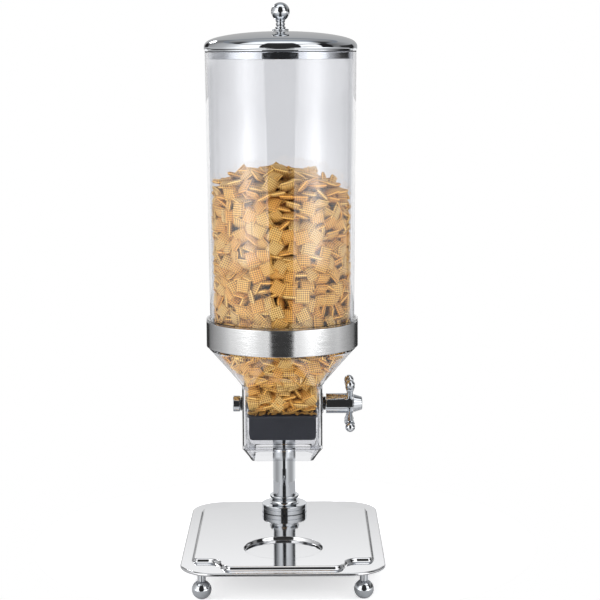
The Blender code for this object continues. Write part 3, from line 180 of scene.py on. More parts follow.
# %% [markdown]
# ## The studio
# Polished metal shows little but the room around it. The picture's reflections give that room away: a dark
# gap with the camera in it, tall white cards on both sides, narrow black flags near the edges, a white
# backdrop, and a bright ceiling in front of a dimmer one. A world made from the ray's direction paints that
# room with no modelling. Lid, canister, ring, pole and flange mirror different heights of the room, so each
# height has a ramp of its own round the horizon. The lights were matched to the photograph height by height.

# %% What stands round the room
# Degrees round the horizon from the camera, negative to its left, and the light that comes from there
AT_THE_LID = {
    -180: 0.5, -164: 0.5, -160: 0.4, -158: 0.02, -140: 0.02, -137: 0.4, -118: 0.5, -95: 0.6, -75: 0.95,
    -58: 1.6, -45: 2.0, -32: 1.5, -27: 2.2, 27: 1.6, 36: 0.95, 45: 0.95, 58: 1.3, 64: 1.3, 66: 0.02,
    84: 0.02, 88: 0.26, 98: 0.26, 104: 0.05, 141: 0.02, 143: 0.42, 164: 0.5, 180: 0.5,
}
OVER_THE_LID = {
    -180: 0.5, -164: 0.5, -158: 0.26, -140: 0.26, -118: 0.5, -95: 0.6, -75: 0.95, -58: 1.6, -45: 2.0,
    -32: 1.5, 32: 1.5, 45: 2.0, 58: 1.6, 64: 1.3, 66: 0.02, 84: 0.02, 90: 0.18, 110: 0.3, 143: 0.5,
    180: 0.5,
}
AT_THE_SKIRT = {
    -180: 0.5, -164: 0.5, -150: 0.4, -135: 0.85, -114: 0.77, -98: 0.71, -90: 1.0, -84: 1.45, -72: 1.95,
    -45: 2.1, -32: 1.5, 32: 1.5, 45: 2.0, 72: 2.0, 82: 0.8, 96: 0.3, 108: 0.04, 141: 0.02, 146: 0.42,
    164: 0.5, 180: 0.5,
}
AT_THE_CANISTER = {
    -180: 0.5, -150: 0.5, -148: 0.02, -131: 0.02, -129: 0.22, -120: 0.32, -100: 0.54, -88: 0.75, -72: 1.3,
    -60: 2.1, -54: 2.6, -44: 1.9, -34: 1.15, -25: 0.95, -20: 1.6, 20: 1.6, 24: 0.9, 34: 1.25, 46: 2.1,
    54: 2.6, 60: 2.6, 68: 1.6, 76: 1.0, 94: 0.7, 106: 0.56, 119: 0.42, 125: 0.4, 126.5: 0.02, 138: 0.02,
    140: 0.5, 180: 0.5,
}
AT_THE_RING = {
    -180: 0.3, -167: 0.02, -147: 0.02, -143: 0.2, -138: 0.25, -120: 0.41, -106: 0.53, -94: 0.74, -84: 0.97,
    -74: 1.03, -60: 1.12, -47: 1.11, -39: 1.05, -31: 0.93, -23: 0.85, 23: 0.95, 31: 1.22, 39: 1.4, 47: 1.48,
    56: 1.1, 64: 0.91, 74: 0.79, 84: 0.7, 94: 0.8, 106: 0.57, 120: 0.4, 137: 0.25, 146: 0.02, 166: 0.02,
    180: 0.3,
}
AT_THE_POLE = {
    -180: 0.9, -150: 0.8, -110: 0.6, -85: 0.42, -65: 0.49, -46: 0.67, -29: 0.8, 20: 1.15, 27: 1.0,
    37: 0.7, 55: 0.51, 75: 0.43, 97: 0.56, 126: 0.95, 180: 1.0,
}
AT_THE_FLANGE = {
    -180: 0.2, -150: 0.02, -125: 0.02, -116: 0.06, -102: 0.13, -77: 0.41, -57: 0.74, -38: 0.98, -25: 0.9,
    -18: 0.8, 18: 0.8, 25: 0.93, 32: 0.96, 50: 0.84, 70: 0.72, 84: 0.45, 93: 0.28, 108: 0.08, 118: 0.02,
    150: 0.02, 180: 0.2,
}
OVER_THE_SHOULDER = {
    -180: 0.5, -140: 0.36, -118: 0.22, -106: 0.06, -84: 0.06, -76: 1.5, -32: 1.5, -29: 0.04, 29: 0.04,
    32: 1.5, 76: 1.5, 84: 0.04, 108: 0.04, 120: 0.2, 140: 0.36, 180: 0.5,
}
EVEN_LIGHT = {-180: 1.8, -110: 2.5, -50: 2.2, 0: 1.82, 100: 1.7, 180: 1.8}
PILE_LIGHT = 1.5
AT_THE_PILE = {degrees: light * PILE_LIGHT for degrees, light in AT_THE_CANISTER.items()}
# Each height's light takes over from the one before it between these two angles over the horizon
LIGHT_BY_HEIGHT = (
    (-90.0, -89.0, AT_THE_FLANGE), (-15.4, -14.7, AT_THE_POLE), (-12.6, -10.4, AT_THE_RING),
    (-8.2, -7.7, AT_THE_PILE), (-4.4, -2.8, AT_THE_CANISTER), (-1.1, -0.5, AT_THE_SKIRT),
    (2.0, 4.0, AT_THE_LID), (14.0, 18.0, OVER_THE_LID),
)
print("heights in the room:", len(LIGHT_BY_HEIGHT))

# %% Look round the room
# A ramp holds colours of up to 1: each light is divided by this, and the background's strength gives it back
CARD = 4.0


def light_round(stops):
    """The light round the horizon, by the direction of the ray."""
    return ramp(tree, turn_share, [((degrees + 180) / 360, light / CARD) for degrees, light in stops.items()])


def colour_of(light):
    """A light, grey or coloured, as the mixes hold it."""
    return tuple(share / CARD for share in (light if isinstance(light, tuple) else (light,) * 3))


world = bpy.data.worlds.new("studio")
bpy.context.scene.world = world
tree = cleared_tree(world)
path = node(tree, "ShaderNodeLightPath").outputs
direction = node(tree, "ShaderNodeTexCoord").outputs["Generated"]
ray = node(tree, "ShaderNodeSeparateXYZ", Vector=direction).outputs
towards_camera = maths(tree, "MULTIPLY", ray["Y"], -1.0)
around = maths(tree, "ARCTAN2", ray["X"], towards_camera)
turn_share = maths(tree, "MULTIPLY_ADD", around, 0.5 / math.pi, 0.5)
up = maths(tree, "DEGREES", maths(tree, "ARCSINE", ray["Z"]))
shiny = maths(tree, "MAXIMUM", path["Is Glossy Ray"], path["Is Transmission Ray"])
cards = (0.0, 0.0, 0.0)
for start, end, stops in LIGHT_BY_HEIGHT:
    cards = blend_of(tree, passes(tree, up, start, end), cards, light_round(stops))
print("brightest light in a ramp:", CARD)

# %% [markdown]
# ### The dark gap, the slot and the ceiling
# The stripe down the middle of every round piece is the gap between the cards, where the camera stands. It
# narrows downwards, so its half width is worked out from the height. What a piece shows by way of the plate
# comes from rays that were mirrored twice, and they meet the flange's light and a narrower gap. Over the
# cards is a slot, then the ceiling.

# %% Open the gap and close the room above
GAP = 0.035
GAP_AT_HORIZON, GAP_PER_DEGREE, GAP_MOST, GAP_MORE_AT_LID, GAP_LESS = 27.0, 0.8, 29.5, 3.5, 2.0
GAP_EDGE, GAP_LOSS_IN_PLATE, LOW_GAP = 0.9, 14.0, 25.0
# Degrees over the horizon between which each of these begins
AT_LID, OVER_LOW_GAP, OVER_BOTTOM, UPWARDS = (-1.5, -0.8), (-25.0, -19.0), (-38.0, -36.0), (-2.0, 0.0)
OVER_CARDS, IN_CEILING, OVER_SHOULDER = (39.0, 41.0), (45.0, 47.0), (58.0, 70.0)
FRONT_CEILING, BACK_CEILING, BACK_SLOT = 1.5, (0.44, 0.48, 0.535), (0.28, 0.3, 0.33)
FRONT_FROM, FRONT_TO, SLOT_DARKNESS = -0.1, 0.0, 0.95
MIRRORED_TWICE = 1.5

half_gap = maths(tree, "MINIMUM", maths(tree, "MULTIPLY_ADD", up, GAP_PER_DEGREE, GAP_AT_HORIZON), GAP_MOST)
half_gap = maths(tree, "ADD", half_gap, maths(tree, "MULTIPLY", passes(tree, up, *AT_LID), GAP_MORE_AT_LID))
far_down = maths(tree, "SUBTRACT", 1.0, passes(tree, up, *OVER_LOW_GAP))
half_gap = maths(tree, "MAXIMUM", half_gap, maths(tree, "MULTIPLY", far_down, LOW_GAP))
half_gap = maths(tree, "MULTIPLY", half_gap, passes(tree, up, *OVER_BOTTOM))
half_gap = maths(tree, "SUBTRACT", half_gap, GAP_LESS)
twice_mirrored = maths(tree, "GREATER_THAN", path["Glossy Depth"], MIRRORED_TWICE)
from_plate = maths(tree, "MULTIPLY", twice_mirrored, passes(tree, up, *UPWARDS))
cards = blend_of(tree, from_plate, cards, light_round(AT_THE_FLANGE))
half_gap = maths(tree, "SUBTRACT", half_gap, maths(tree, "MULTIPLY", from_plate, GAP_LOSS_IN_PLATE))
off_middle = maths(tree, "DEGREES", maths(tree, "ABSOLUTE", around))
past_gap = passes(tree, maths(tree, "SUBTRACT", off_middle, half_gap), -GAP_EDGE, GAP_EDGE)
room = blend_of(tree, shiny, light_round(EVEN_LIGHT), blend_of(tree, past_gap, colour_of(GAP), cards))

in_front = passes(tree, towards_camera, FRONT_FROM, FRONT_TO)
dark_slot = maths(tree, "MULTIPLY", in_front, maths(tree, "MULTIPLY", shiny, SLOT_DARKNESS))
slot = blend_of(tree, dark_slot, colour_of(BACK_SLOT), colour_of(GAP))
ceiling = blend_of(tree, in_front, colour_of(BACK_CEILING), colour_of(FRONT_CEILING))
ceiling = blend_of(tree, passes(tree, up, *OVER_SHOULDER), light_round(OVER_THE_SHOULDER), ceiling)
room = blend_of(tree, passes(tree, up, *OVER_CARDS), room, slot)
room = blend_of(tree, passes(tree, up, *IN_CEILING), room, ceiling)
print("half the gap at the horizon:", GAP_AT_HORIZON + GAP_MORE_AT_LID - GAP_LESS, "degrees")

# %% [markdown]
# ### White behind the dispenser
# The picture stands on plain white. The camera sees white wherever it misses the object, and so does a ray
# that goes through the clear walls to the back. A ray that was never mirrored sees it in front too, so that
# the tube stays clear from behind. Mirrors see the white only in a small patch low down, straight behind.

# %% Put white where the camera looks past the object
PATCH_FROM, PATCH_TO, PATCH_TOP = 0.968, 0.978, 0.03
BACK_FROM, BACK_TO, FRONT_BEGINS, FRONT_FULL = 0.6, 0.8, 0.1, 0.4
WIDER_LOW_DOWN, NOT_LOW_DOWN, NEVER_MIRRORED = 0.6, (-10.4, -9.8), 0.5

below = maths(tree, "LESS_THAN", ray["Z"], PATCH_TOP)
patch = maths(tree, "MULTIPLY", passes(tree, ray["Y"], PATCH_FROM, PATCH_TO), below)
low_down = maths(tree, "SUBTRACT", 1.0, passes(tree, up, *NOT_LOW_DOWN))
backwards = maths(tree, "ADD", ray["Y"], maths(tree, "MULTIPLY", low_down, WIDER_LOW_DOWN))
never_mirrored = maths(tree, "LESS_THAN", path["Glossy Depth"], NEVER_MIRRORED)
in_front = maths(tree, "MULTIPLY", never_mirrored, passes(tree, towards_camera, FRONT_BEGINS, FRONT_FULL))
white_through = maths(tree, "MAXIMUM", passes(tree, backwards, BACK_FROM, BACK_TO), in_front)
through = maths(tree, "MULTIPLY", path["Is Transmission Ray"], white_through)
seen = maths(tree, "MAXIMUM", path["Is Camera Ray"], through)
white_share = maths(tree, "MAXIMUM", seen, maths(tree, "MULTIPLY", patch, path["Is Glossy Ray"]))
light = node(tree, "ShaderNodeBackground", Color=room, Strength=CARD)
white = node(tree, "ShaderNodeBackground", Color=(1, 1, 1, 1), Strength=1.0)
mixed = node(tree, "ShaderNodeMixShader", Fac=white_share, i1=light, i2=white)
node(tree, "ShaderNodeOutputWorld", Surface=mixed)
lay_out(tree)

# %% [markdown]
# ## Floor, card and lamp
# The floor is a round pale table. Its own colour keeps the shadow, and a little light of its own, for the
# camera and through the clear walls only, lifts the rest of it to white. Metal sees it dimmed. A low card
# behind the dispenser, brighter towards its top, is what the polished plate shows, and a round lamp at the
# back left is the bright spot on the lid.

# %% Lay the floor
FLOOR_RADIUS, FLOOR_BACK, FLOOR_STEPS = 0.3, 0.09, 128
FLOOR_COLOUR, FLOOR_GLOW, DIMMED_IN_METAL = (0.8, 0.8, 0.81, 1.0), 0.5, 0.38


def mesh_from(build, name):
    """Turns a finished bmesh into a mesh."""
    mesh = bpy.data.meshes.new(name)
    build.to_mesh(mesh)
    build.free()
    return mesh


build = bmesh.new()
bmesh.ops.create_circle(build, cap_ends=True, segments=FLOOR_STEPS, radius=FLOOR_RADIUS)
floor_mesh = mesh_from(build, "floor")
floor_mesh.transform(Matrix.Translation((0.0, FLOOR_BACK, 0.0)))
floor_mesh.materials.append(bpy.data.materials.new("pale_table"))
tree = cleared_tree(floor_mesh.materials[0])
path = node(tree, "ShaderNodeLightPath").outputs
table = node(tree, "ShaderNodeBsdfDiffuse", Color=FLOOR_COLOUR)
seen = maths(tree, "MAXIMUM", path["Is Camera Ray"], path["Is Transmission Ray"])
glow = node(tree, "ShaderNodeEmission", Strength=maths(tree, "MULTIPLY", seen, FLOOR_GLOW))
both = node(tree, "ShaderNodeAddShader", i0=table, i1=glow)
dark = node(tree, "ShaderNodeEmission", Strength=0.0)
in_metal = maths(tree, "MULTIPLY", path["Is Glossy Ray"], DIMMED_IN_METAL)
dimmed = node(tree, "ShaderNodeMixShader", Fac=in_metal, i1=both, i2=dark)
node(tree, "ShaderNodeOutputMaterial", Surface=dimmed)
lay_out(tree)
floor = put_in_scene("floor", floor_mesh)
print("floor radius:", FLOOR_RADIUS, "m")

# %% Stand the card behind and hang the lamp
CARD_LOW, CARD_HIGH, CARD_BACK, CARD_HALF = 0.16, 0.5, 0.95, 0.8
BRIGHTENS_FROM, BRIGHTENS_TO, LOW_LIGHT, HIGH_LIGHT = 0.235, 0.375, 0.8, 1.1
LAMP_PLACE, LAMP_AIM = Vector((-0.75, 1.25, 1.28)), Vector((0.0, -0.04, 0.6))
LAMP_WIDTH, LAMP_LIGHT = 0.3, 10.0

build = bmesh.new()
corners = [(-1, CARD_LOW), (1, CARD_LOW), (1, CARD_HIGH), (-1, CARD_HIGH)]
build.faces.new([build.verts.new((side * CARD_HALF, CARD_BACK, z)) for side, z in corners])
card_mesh = mesh_from(build, "back_card")
card_mesh.materials.append(bpy.data.materials.new("card_light"))
tree = cleared_tree(card_mesh.materials[0])
place = node(tree, "ShaderNodeSeparateXYZ", Vector=node(tree, "ShaderNodeTexCoord").outputs["Object"]).outputs
strength = map_range(tree, place["Z"], BRIGHTENS_FROM, BRIGHTENS_TO, LOW_LIGHT, HIGH_LIGHT)
glow = node(tree, "ShaderNodeEmission", Strength=strength)
node(tree, "ShaderNodeOutputMaterial", Surface=glow)
lay_out(tree)
card = put_in_scene("back_card", card_mesh)
card.visible_camera = card.visible_diffuse = card.visible_transmission = card.visible_shadow = False

lamp_data = bpy.data.lights.new("round_lamp", "AREA")
lamp_data.shape = "DISK"
lamp_data.size = LAMP_WIDTH
lamp_data.energy = LAMP_LIGHT * math.pi * (math.pi * LAMP_WIDTH * LAMP_WIDTH / 4)
lamp = put_in_scene("round_lamp", lamp_data)
lamp.location = LAMP_PLACE
lamp.rotation_euler = (LAMP_AIM - LAMP_PLACE).to_track_quat("-Z", "Y").to_euler()
lamp.visible_camera = lamp.visible_transmission = False
print("lamp:", round(lamp_data.energy, 2), "W, card:", CARD_HALF * 2, "m wide")

# %% [markdown]
# ## Finishes
# Each finish is one Principled shader with nodes only where the real surface varies: polish that is a
# little cloudy, a brushed grain, moulded plastic with a fine tooth. In most of them roughness, colour and
# relief follow one noise, since on the real piece they come from the same marks. Patterns read Object
# coordinates, so they stay on the piece.

# %% A blank finish and its patterns
FINISHES = {}
NOISE_LOW, NOISE_HIGH = 0.3, 0.7


def finish(name, colour, metallic=0.0, roughness=0.5, **more):
    """A material with one Principled shader, kept under its name."""
    made = bpy.data.materials.new(name)
    made.use_nodes = True
    shader = made.node_tree.nodes["Principled BSDF"]
    shader.inputs["Base Color"].default_value = (*colour, 1.0)
    shader.inputs["Metallic"].default_value = metallic
    shader.inputs["Roughness"].default_value = roughness
    for key, value in more.items():
        shader.inputs[key.replace("_", " ")].default_value = value
    made.diffuse_color = (*colour, 1.0)
    FINISHES[name] = made
    return made.node_tree, shader


def noise(tree, scale, stretch=(1.0, 1.0, 1.0), detail=3.0):
    """Noise over the piece, drawn out along any axis by a small stretch there."""
    place = node(tree, "ShaderNodeTexCoord").outputs["Object"]
    spread = node(tree, "ShaderNodeMapping", Vector=place, Scale=stretch)
    return node(tree, "ShaderNodeTexNoise", Vector=spread, Scale=scale, Detail=detail)


def roughen(tree, shader, factor, low, high):
    """Noise keeps near one half, so its middle is spread over the whole range of roughness."""
    spread = map_range(tree, factor, NOISE_LOW, NOISE_HIGH, low, high)
    tree.links.new(spread.outputs[0], shader.inputs["Roughness"])


def bump(tree, shader, factor, strength, distance):
    made = node(tree, "ShaderNodeBump", Height=factor, Strength=strength, Distance=distance)
    tree.links.new(made.outputs[0], shader.inputs["Normal"])


def patterned(name, colour, metallic, roughness, ends, tints, relief, depth, **pattern):
    """A finish whose roughness, colour and relief follow one noise."""
    tree, shader = finish(name, colour, metallic, roughness)
    marks = noise(tree, **pattern)
    roughen(tree, shader, marks, *ends)
    tree.links.new(blend_of(tree, marks, *tints), shader.inputs["Base Color"])
    if relief:
        bump(tree, shader, marks, relief, depth)
    lay_out(tree)


print("noise from", NOISE_LOW, "to", NOISE_HIGH, "covers a finish's whole range")

# %% [markdown]
# ### Metals
# The lid, the pole and the handle are mirror plated. The plate is polished stainless with a faint grain
# from side to side, which blurs what it mirrors only a little. The ring is satin: its grain runs round it,
# so noise is squeezed in height and drawn out sideways. Hidden bolts and studs are plain zinc plate with
# its mottled bloom.

# %% Make the metals
patterned(
    "chrome", (0.66, 0.685, 0.715), 1.0, 0.03, (0.01, 0.035),
    ((0.645, 0.67, 0.7), (0.68, 0.7, 0.73)), 0.0, 0.0, scale=60.0,
)
patterned(
    "polished_steel", (0.745, 0.75, 0.765), 1.0, 0.08, (0.03, 0.08),
    ((0.715, 0.72, 0.735), (0.775, 0.78, 0.795)), 0.05, 0.0002,
    scale=30.0, stretch=(1.5, 60.0, 60.0), detail=5.0,
)
patterned(
    "brushed_steel", (0.66, 0.665, 0.67), 1.0, 0.12, (0.08, 0.16),
    ((0.62, 0.625, 0.63), (0.7, 0.7, 0.705)), 0.1, 0.0002,
    scale=30.0, stretch=(2.0, 2.0, 70.0), detail=6.0,
)
patterned(
    "zinc_steel", (0.52, 0.53, 0.56), 1.0, 0.34, (0.26, 0.44),
    ((0.44, 0.45, 0.49), (0.62, 0.62, 0.62)), 0.12, 0.0002, scale=420.0, detail=5.0,
)
print("metals:", ", ".join(FINISHES))

# %% [markdown]
# ### Clear plastic
# The canister, the funnel, the valve box and the spout are clear moulded plastic, glass to a shader but
# lighter. Light would lose its way in four clear walls, so lamps and soft light pass straight through, by
# two mixes that read the kind of ray. The camera still sees the walls bend and mirror the room.

# %% Make the clear finishes
def clear_finish(name, colour, roughness, ends, passed, pattern, **more):
    """Shadow rays and soft light go straight on, with the share of light that a real wall lets by."""
    tree, shader = finish(name, colour, 0.0, roughness, **more)
    roughen(tree, shader, noise(tree, **pattern), *ends)
    path = node(tree, "ShaderNodeLightPath").outputs
    clear = node(tree, "ShaderNodeBsdfTransparent", Color=(passed, passed, passed, 1.0))
    seen = shader
    for kind_of_ray in ("Is Diffuse Ray", "Is Shadow Ray"):
        seen = node(tree, "ShaderNodeMixShader", Fac=path[kind_of_ray], i1=seen, i2=clear)
    tree.links.new(seen.outputs[0], tree.nodes["Material Output"].inputs["Surface"])
    lay_out(tree)


clear_finish(
    "clear_plastic", (0.86, 0.865, 0.885), 0.0, (0.0, 0.02), 0.96,
    {"scale": 8.0, "stretch": (1.0, 1.0, 0.4), "detail": 2.0}, IOR=1.53, Transmission_Weight=1.0,
)
clear_finish(
    "clear_silicone", (0.9, 0.91, 0.92), 0.3, (0.22, 0.4), 0.85,
    {"scale": 300.0}, IOR=1.41, Transmission_Weight=0.8,
)
print("clear finishes let lamp light through")

# %% [markdown]
# ### Rubber and dark plastic
# The paddles are soft slate-dark rubber, matte with a fine tooth. The hub, the bushes and the washers are
# moulded plastic, smoother and blacker.

# %% Make the dark finishes
patterned(
    "dark_rubber", (0.018, 0.02, 0.028), 0.0, 0.55, (0.48, 0.66),
    ((0.015, 0.017, 0.025), (0.022, 0.024, 0.034)), 0.15, 0.0002, scale=900.0, detail=4.0,
)
patterned(
    "dark_plastic", (0.05, 0.05, 0.058), 0.0, 0.4, (0.34, 0.48),
    ((0.045, 0.045, 0.052), (0.058, 0.058, 0.066)), 0.08, 0.0001, scale=700.0,
)
patterned(
    "black_plastic", (0.014, 0.014, 0.015), 0.0, 0.3, (0.24, 0.38),
    ((0.011, 0.011, 0.012), (0.018, 0.018, 0.019)), 0.06, 0.0001, scale=700.0,
)
print("finishes:", len(FINISHES))

# %% [markdown]
# ### Every solid takes its finish
# The record names one finish for each solid, so the plain solids that stay in view are dressed in one short
# loop.

# %% Dress the solids
SLOT_OF = {row["node"]: row["material_slot"] for row in frame["record"]["subparts"]}
for name, solid in frame["nodes"].items():
    solid.material_slots[0].material = FINISHES[SLOT_OF[name]]
print("dressed:", len(SLOT_OF), "solids in", len(set(SLOT_OF.values())), "finishes")

# %% [markdown]
# ## Turning shapes on a lathe
# Most of the dispenser is round: feet, pole, flange, ring, canister, handle, lid and knob. Each is a half
# outline spun round an axis. A mirror finish shows every flat, so these are spun in many more steps than
# the plain solids, and the outline's corners get the small rounds that catch the light. Edges sharper than
# a set angle stay crisp.

# %% Outline tools
HOLD, MOST_OF_SIDE = 0.0004, 0.45


def rounded_corner(before, corner, after, radius, steps=4):
    """A corner rounded to a radius, with one more point on each side to keep that side truly flat."""
    back = (before - corner).normalized()
    on = (after - corner).normalized()
    half = back.angle(on) / 2
    room = min((before - corner).length, (after - corner).length) * MOST_OF_SIDE
    reach = min(radius / math.tan(half), room)
    hold = min(reach + HOLD, room + HOLD / 4)
    first, last = corner + back * reach, corner + on * reach
    curve = [
        first * (1 - t) ** 2 + corner * 2 * t * (1 - t) + last * t ** 2
        for t in [step / steps for step in range(steps + 1)]
    ]
    return [corner + back * hold, *curve, corner + on * hold]


def outline(points):
    """A half outline of (radius, height) points. A third number rounds that corner."""
    flat = [Vector(point[:2]) for point in points]
    made = []
    for index, point in enumerate(points):
        if len(point) > 2 and point[2] > 0:
            made += rounded_corner(flat[index - 1], flat[index], flat[(index + 1) % len(flat)], point[2])
        else:
            made.append(flat[index])
    return made


def curve_through(points, steps=8):
    """A smooth curve through the points of an outline."""
    flat = [Vector(point) for point in points]
    ends = [flat[0] * 2 - flat[1], *flat, flat[-1] * 2 - flat[-2]]
    made = []
    for p0, p1, p2, p3 in zip(ends, ends[1:], ends[2:], ends[3:]):
        for t in [step / steps for step in range(steps)]:
            square_term = (p0 * 2 - p1 * 5 + p2 * 4 - p3) * t * t
            cube_term = (p1 * 3 - p0 - p2 * 3 + p3) * t ** 3
            made.append((p1 * 2 + (p2 - p0) * t + square_term + cube_term) / 2)
    return made + [flat[-1]]


def arc(height, radius, start, end, steps=20):
    """Points on a ball's outline, in degrees from straight out."""
    angles = [math.radians(start + (end - start) * step / steps) for step in range(steps + 1)]
    return [Vector((max(radius * math.cos(a), 0.0), height + radius * math.sin(a))) for a in angles]


print("a rounded corner holds its flats from", HOLD * 1000, "mm beyond")

# %% Spin an outline and place it
CRISP = math.radians(38)
SAME_POINT, ON_THE_AXIS = 0.000004, 0.0000005


def seat(build, name, finish_name, body, nodes, place, crisp=CRISP):
    """Turns a finished shape into a piece that rides on its body in place of its plain solids."""
    bmesh.ops.remove_doubles(build, verts=build.verts, dist=SAME_POINT)
    bmesh.ops.recalc_face_normals(build, faces=build.faces)
    mesh = mesh_from(build, name)
    mesh.transform(place)
    mesh.shade_smooth()
    mesh.set_sharp_from_angle(angle=crisp)
    mesh.materials.append(FINISHES[finish_name])
    piece = put_in_scene(name, mesh)
    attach(piece, body)
    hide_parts(*nodes)
    return piece


def whole_turn(steps):
    return [2 * math.pi * step / steps for step in range(steps)]


def spin(build, points, steps, ring):
    """Adds an outline turned round Z. A ring's outline closes on itself."""
    loops = []
    for point in points:
        if point.x < ON_THE_AXIS:
            loops.append([build.verts.new((0.0, 0.0, point.y))])
        else:
            circle = [(point.x * math.cos(a), point.x * math.sin(a), point.y) for a in whole_turn(steps)]
            loops.append([build.verts.new(place) for place in circle])
    for low, high in zip(loops, loops[1:] + loops[:1] if ring else loops[1:]):
        for step in range(steps):
            after = (step + 1) % steps
            below = [low[step % len(low)], low[after % len(low)]]
            above = [high[after % len(high)], high[step % len(high)]]
            corners = list(dict.fromkeys(below + above))
            if len(corners) > 2:
                build.faces.new(corners)


def turned(name, points, finish_name, body, nodes, place, steps=96, ring=True, crisp=CRISP):
    """Spins an outline, whose points may have a corner's radius, and places it."""
    build = bmesh.new()
    spin(build, outline(points), steps, ring)
    return seat(build, name, finish_name, body, nodes, place, crisp)


def sleeve(name, inner, outer, low, high, rounds, *rest):
    """A ring with a plain section, whose corners are rounded in turn from the inner low one."""
    corners = ((inner, low), (outer, low), (outer, high), (inner, high))
    turned(name, [(*corner, rounding) for corner, rounding in zip(corners, rounds)], *rest)


print("corners sharper than", round(math.degrees(CRISP)), "degrees stay crisp")

# %% [markdown]
# ## The pressed plate
# The foot of the stand is one sheet of steel. Its rim is flat with a short lip turned down, its middle is
# pressed up into a panel with a tongue at the front and back, and a round recess holds the bowl. It is
# built as closed outlines, one inside the other, each with its own height. Two outlines close together at
# the top and the foot of each pressed wall keep the flats truly flat beside the curve. A Solidify modifier
# then gives the sheet its thickness.

# %% Sizes and outlines of the plate
HALF_WIDTH, HALF_DEPTH, PLATE_CORNER = 0.1125, 0.151, 0.041
RIM_TOP, SHEET, LIP_DROP, LIP_ROUND = 0.0317, 0.0012, 0.0032, 0.0018
PANEL_TOP, PANEL_WALL = RIM_TOP + 0.004, 0.0042
RECESS_CENTRE, RECESS_RADIUS, RECESS_DROP, RECESS_WALL = -0.065, 0.0445, 0.004, 0.0018
POLE_Y, CANISTER_Y, BOLT_HOLE = 0.094, -0.04, 0.0033


def loop_of(corners, steps):
    """A closed outline with rounded (x, y, radius) corners, with the direction straight out at each point."""
    flat = [Vector(corner[:2]) for corner in corners]
    points = []
    for index, (x, y, radius) in enumerate(corners):
        before, here, after = flat[index - 1], flat[index], flat[(index + 1) % len(flat)]
        back, on = (before - here).normalized(), (after - here).normalized()
        half = back.angle(on) / 2
        middle = here + (back + on).normalized() * radius / math.sin(half)
        first = here + back * radius / math.tan(half) - middle
        last = here + on * radius / math.tan(half) - middle
        swing = math.atan2(first.x * last.y - first.y * last.x, first.dot(last))
        bend = 1.0 if swing > 0 else -1.0
        for step in range(steps + 1):
            spoke = Matrix.Rotation(swing * step / steps, 2) @ first
            points.append((middle + spoke, spoke.normalized() * bend))
    return points


def four_ways(quarter):
    """The quarter of an outline at the right and back, mirrored to all four, anticlockwise."""
    half = quarter + [(-x, y, r) for x, y, r in reversed(quarter)]
    return half + [(-x, -y, r) for x, y, r in half]


def inset(loop, distance):
    return [point - out * distance for point, out in loop]


edge = loop_of(four_ways([(HALF_WIDTH, HALF_DEPTH, PLATE_CORNER)]), 24)
panel = loop_of(four_ways([(0.101, 0.11, 0.008), (0.073, 0.11, 0.014), (0.066, 0.14, 0.014)]), 10)
print("points in the plate's edge:", len(edge), "and in its panel:", len(panel))

# %% Ways to press a sheet
def ring_at(points, z):
    return [build.verts.new((p.x, p.y, z)) for p in points]


def join(build, rows):
    """Faces between each row of points and the next, which has as many."""
    for low, high in zip(rows, rows[1:]):
        for step in range(len(low)):
            after = (step + 1) % len(low)
            build.faces.new((low[step], low[after], high[after], high[step]))


def fill(*loops):
    """Flat faces inside the first outline and outside the others."""
    verts = [vert for loop in loops for vert in loop]
    for corners in tessellate_polygon([[vert.co for vert in loop] for loop in loops]):
        build.faces.new([verts[index] for index in corners])


def pressed_wall(at, run, low, high, steps=10):
    """Outlines down a pressed wall, which bends softly both ways, with one more on the flat at each end."""
    rows = [ring_at(at(-HOLD), low)]
    for share in [step / steps for step in range(steps + 1)]:
        rows.append(ring_at(at(run * share), low + (high - low) * ((1 - math.cos(math.pi * share)) / 2)))
    rows.append(ring_at(at(run + HOLD), high))
    join(build, rows)
    return rows


def circle_at(radius, y, steps=96):
    return [Vector((radius * math.cos(a), y + radius * math.sin(a))) for a in whole_turn(steps)]


print("panel:", round(PANEL_TOP * 1000, 1), "mm over the table")

# %% Press the plate
build = bmesh.new()
rim = [ring_at(inset(edge, 0.0), RIM_TOP - LIP_DROP)]
for angle in [math.pi / 2 * step / 8 for step in range(9)]:
    inwards, down = LIP_ROUND * (1 - math.cos(angle)), LIP_ROUND * (1 - math.sin(angle))
    rim.append(ring_at(inset(edge, inwards), RIM_TOP - down))
rim.append(ring_at(inset(edge, LIP_ROUND + HOLD), RIM_TOP))
join(build, rim)
wall = pressed_wall(lambda d: inset(panel, d), PANEL_WALL, RIM_TOP, PANEL_TOP)
recess = pressed_wall(
    lambda d: circle_at(RECESS_RADIUS - d, RECESS_CENTRE), RECESS_WALL, PANEL_TOP, PANEL_TOP - RECESS_DROP,
)
hole = [ring_at(circle_at(radius, POLE_Y, 24), PANEL_TOP) for radius in (BOLT_HOLE + HOLD, BOLT_HOLE)]
join(build, hole)
fill(rim[-1], wall[0])
fill(wall[-1], recess[0], hole[0])
fill(recess[-1])
bmesh.ops.recalc_face_normals(build, faces=build.faces)
if max(build.faces, key=lambda face: face.calc_area()).normal.z < 0:
    bmesh.ops.reverse_faces(build, faces=build.faces)
plate_mesh = mesh_from(build, "plate")
plate_mesh.shade_smooth()
plate_mesh.set_sharp_from_angle(angle=CRISP)
plate_mesh.materials.append(FINISHES["polished_steel"])
plate = put_in_scene("plate", plate_mesh)
sheet = plate.modifiers.new("sheet", "SOLIDIFY")
sheet.thickness = SHEET
sheet.offset = -1.0
sheet.use_even_offset = True
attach(plate, "stand")
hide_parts("base_plate")
print("plate faces:", len(plate_mesh.polygons))

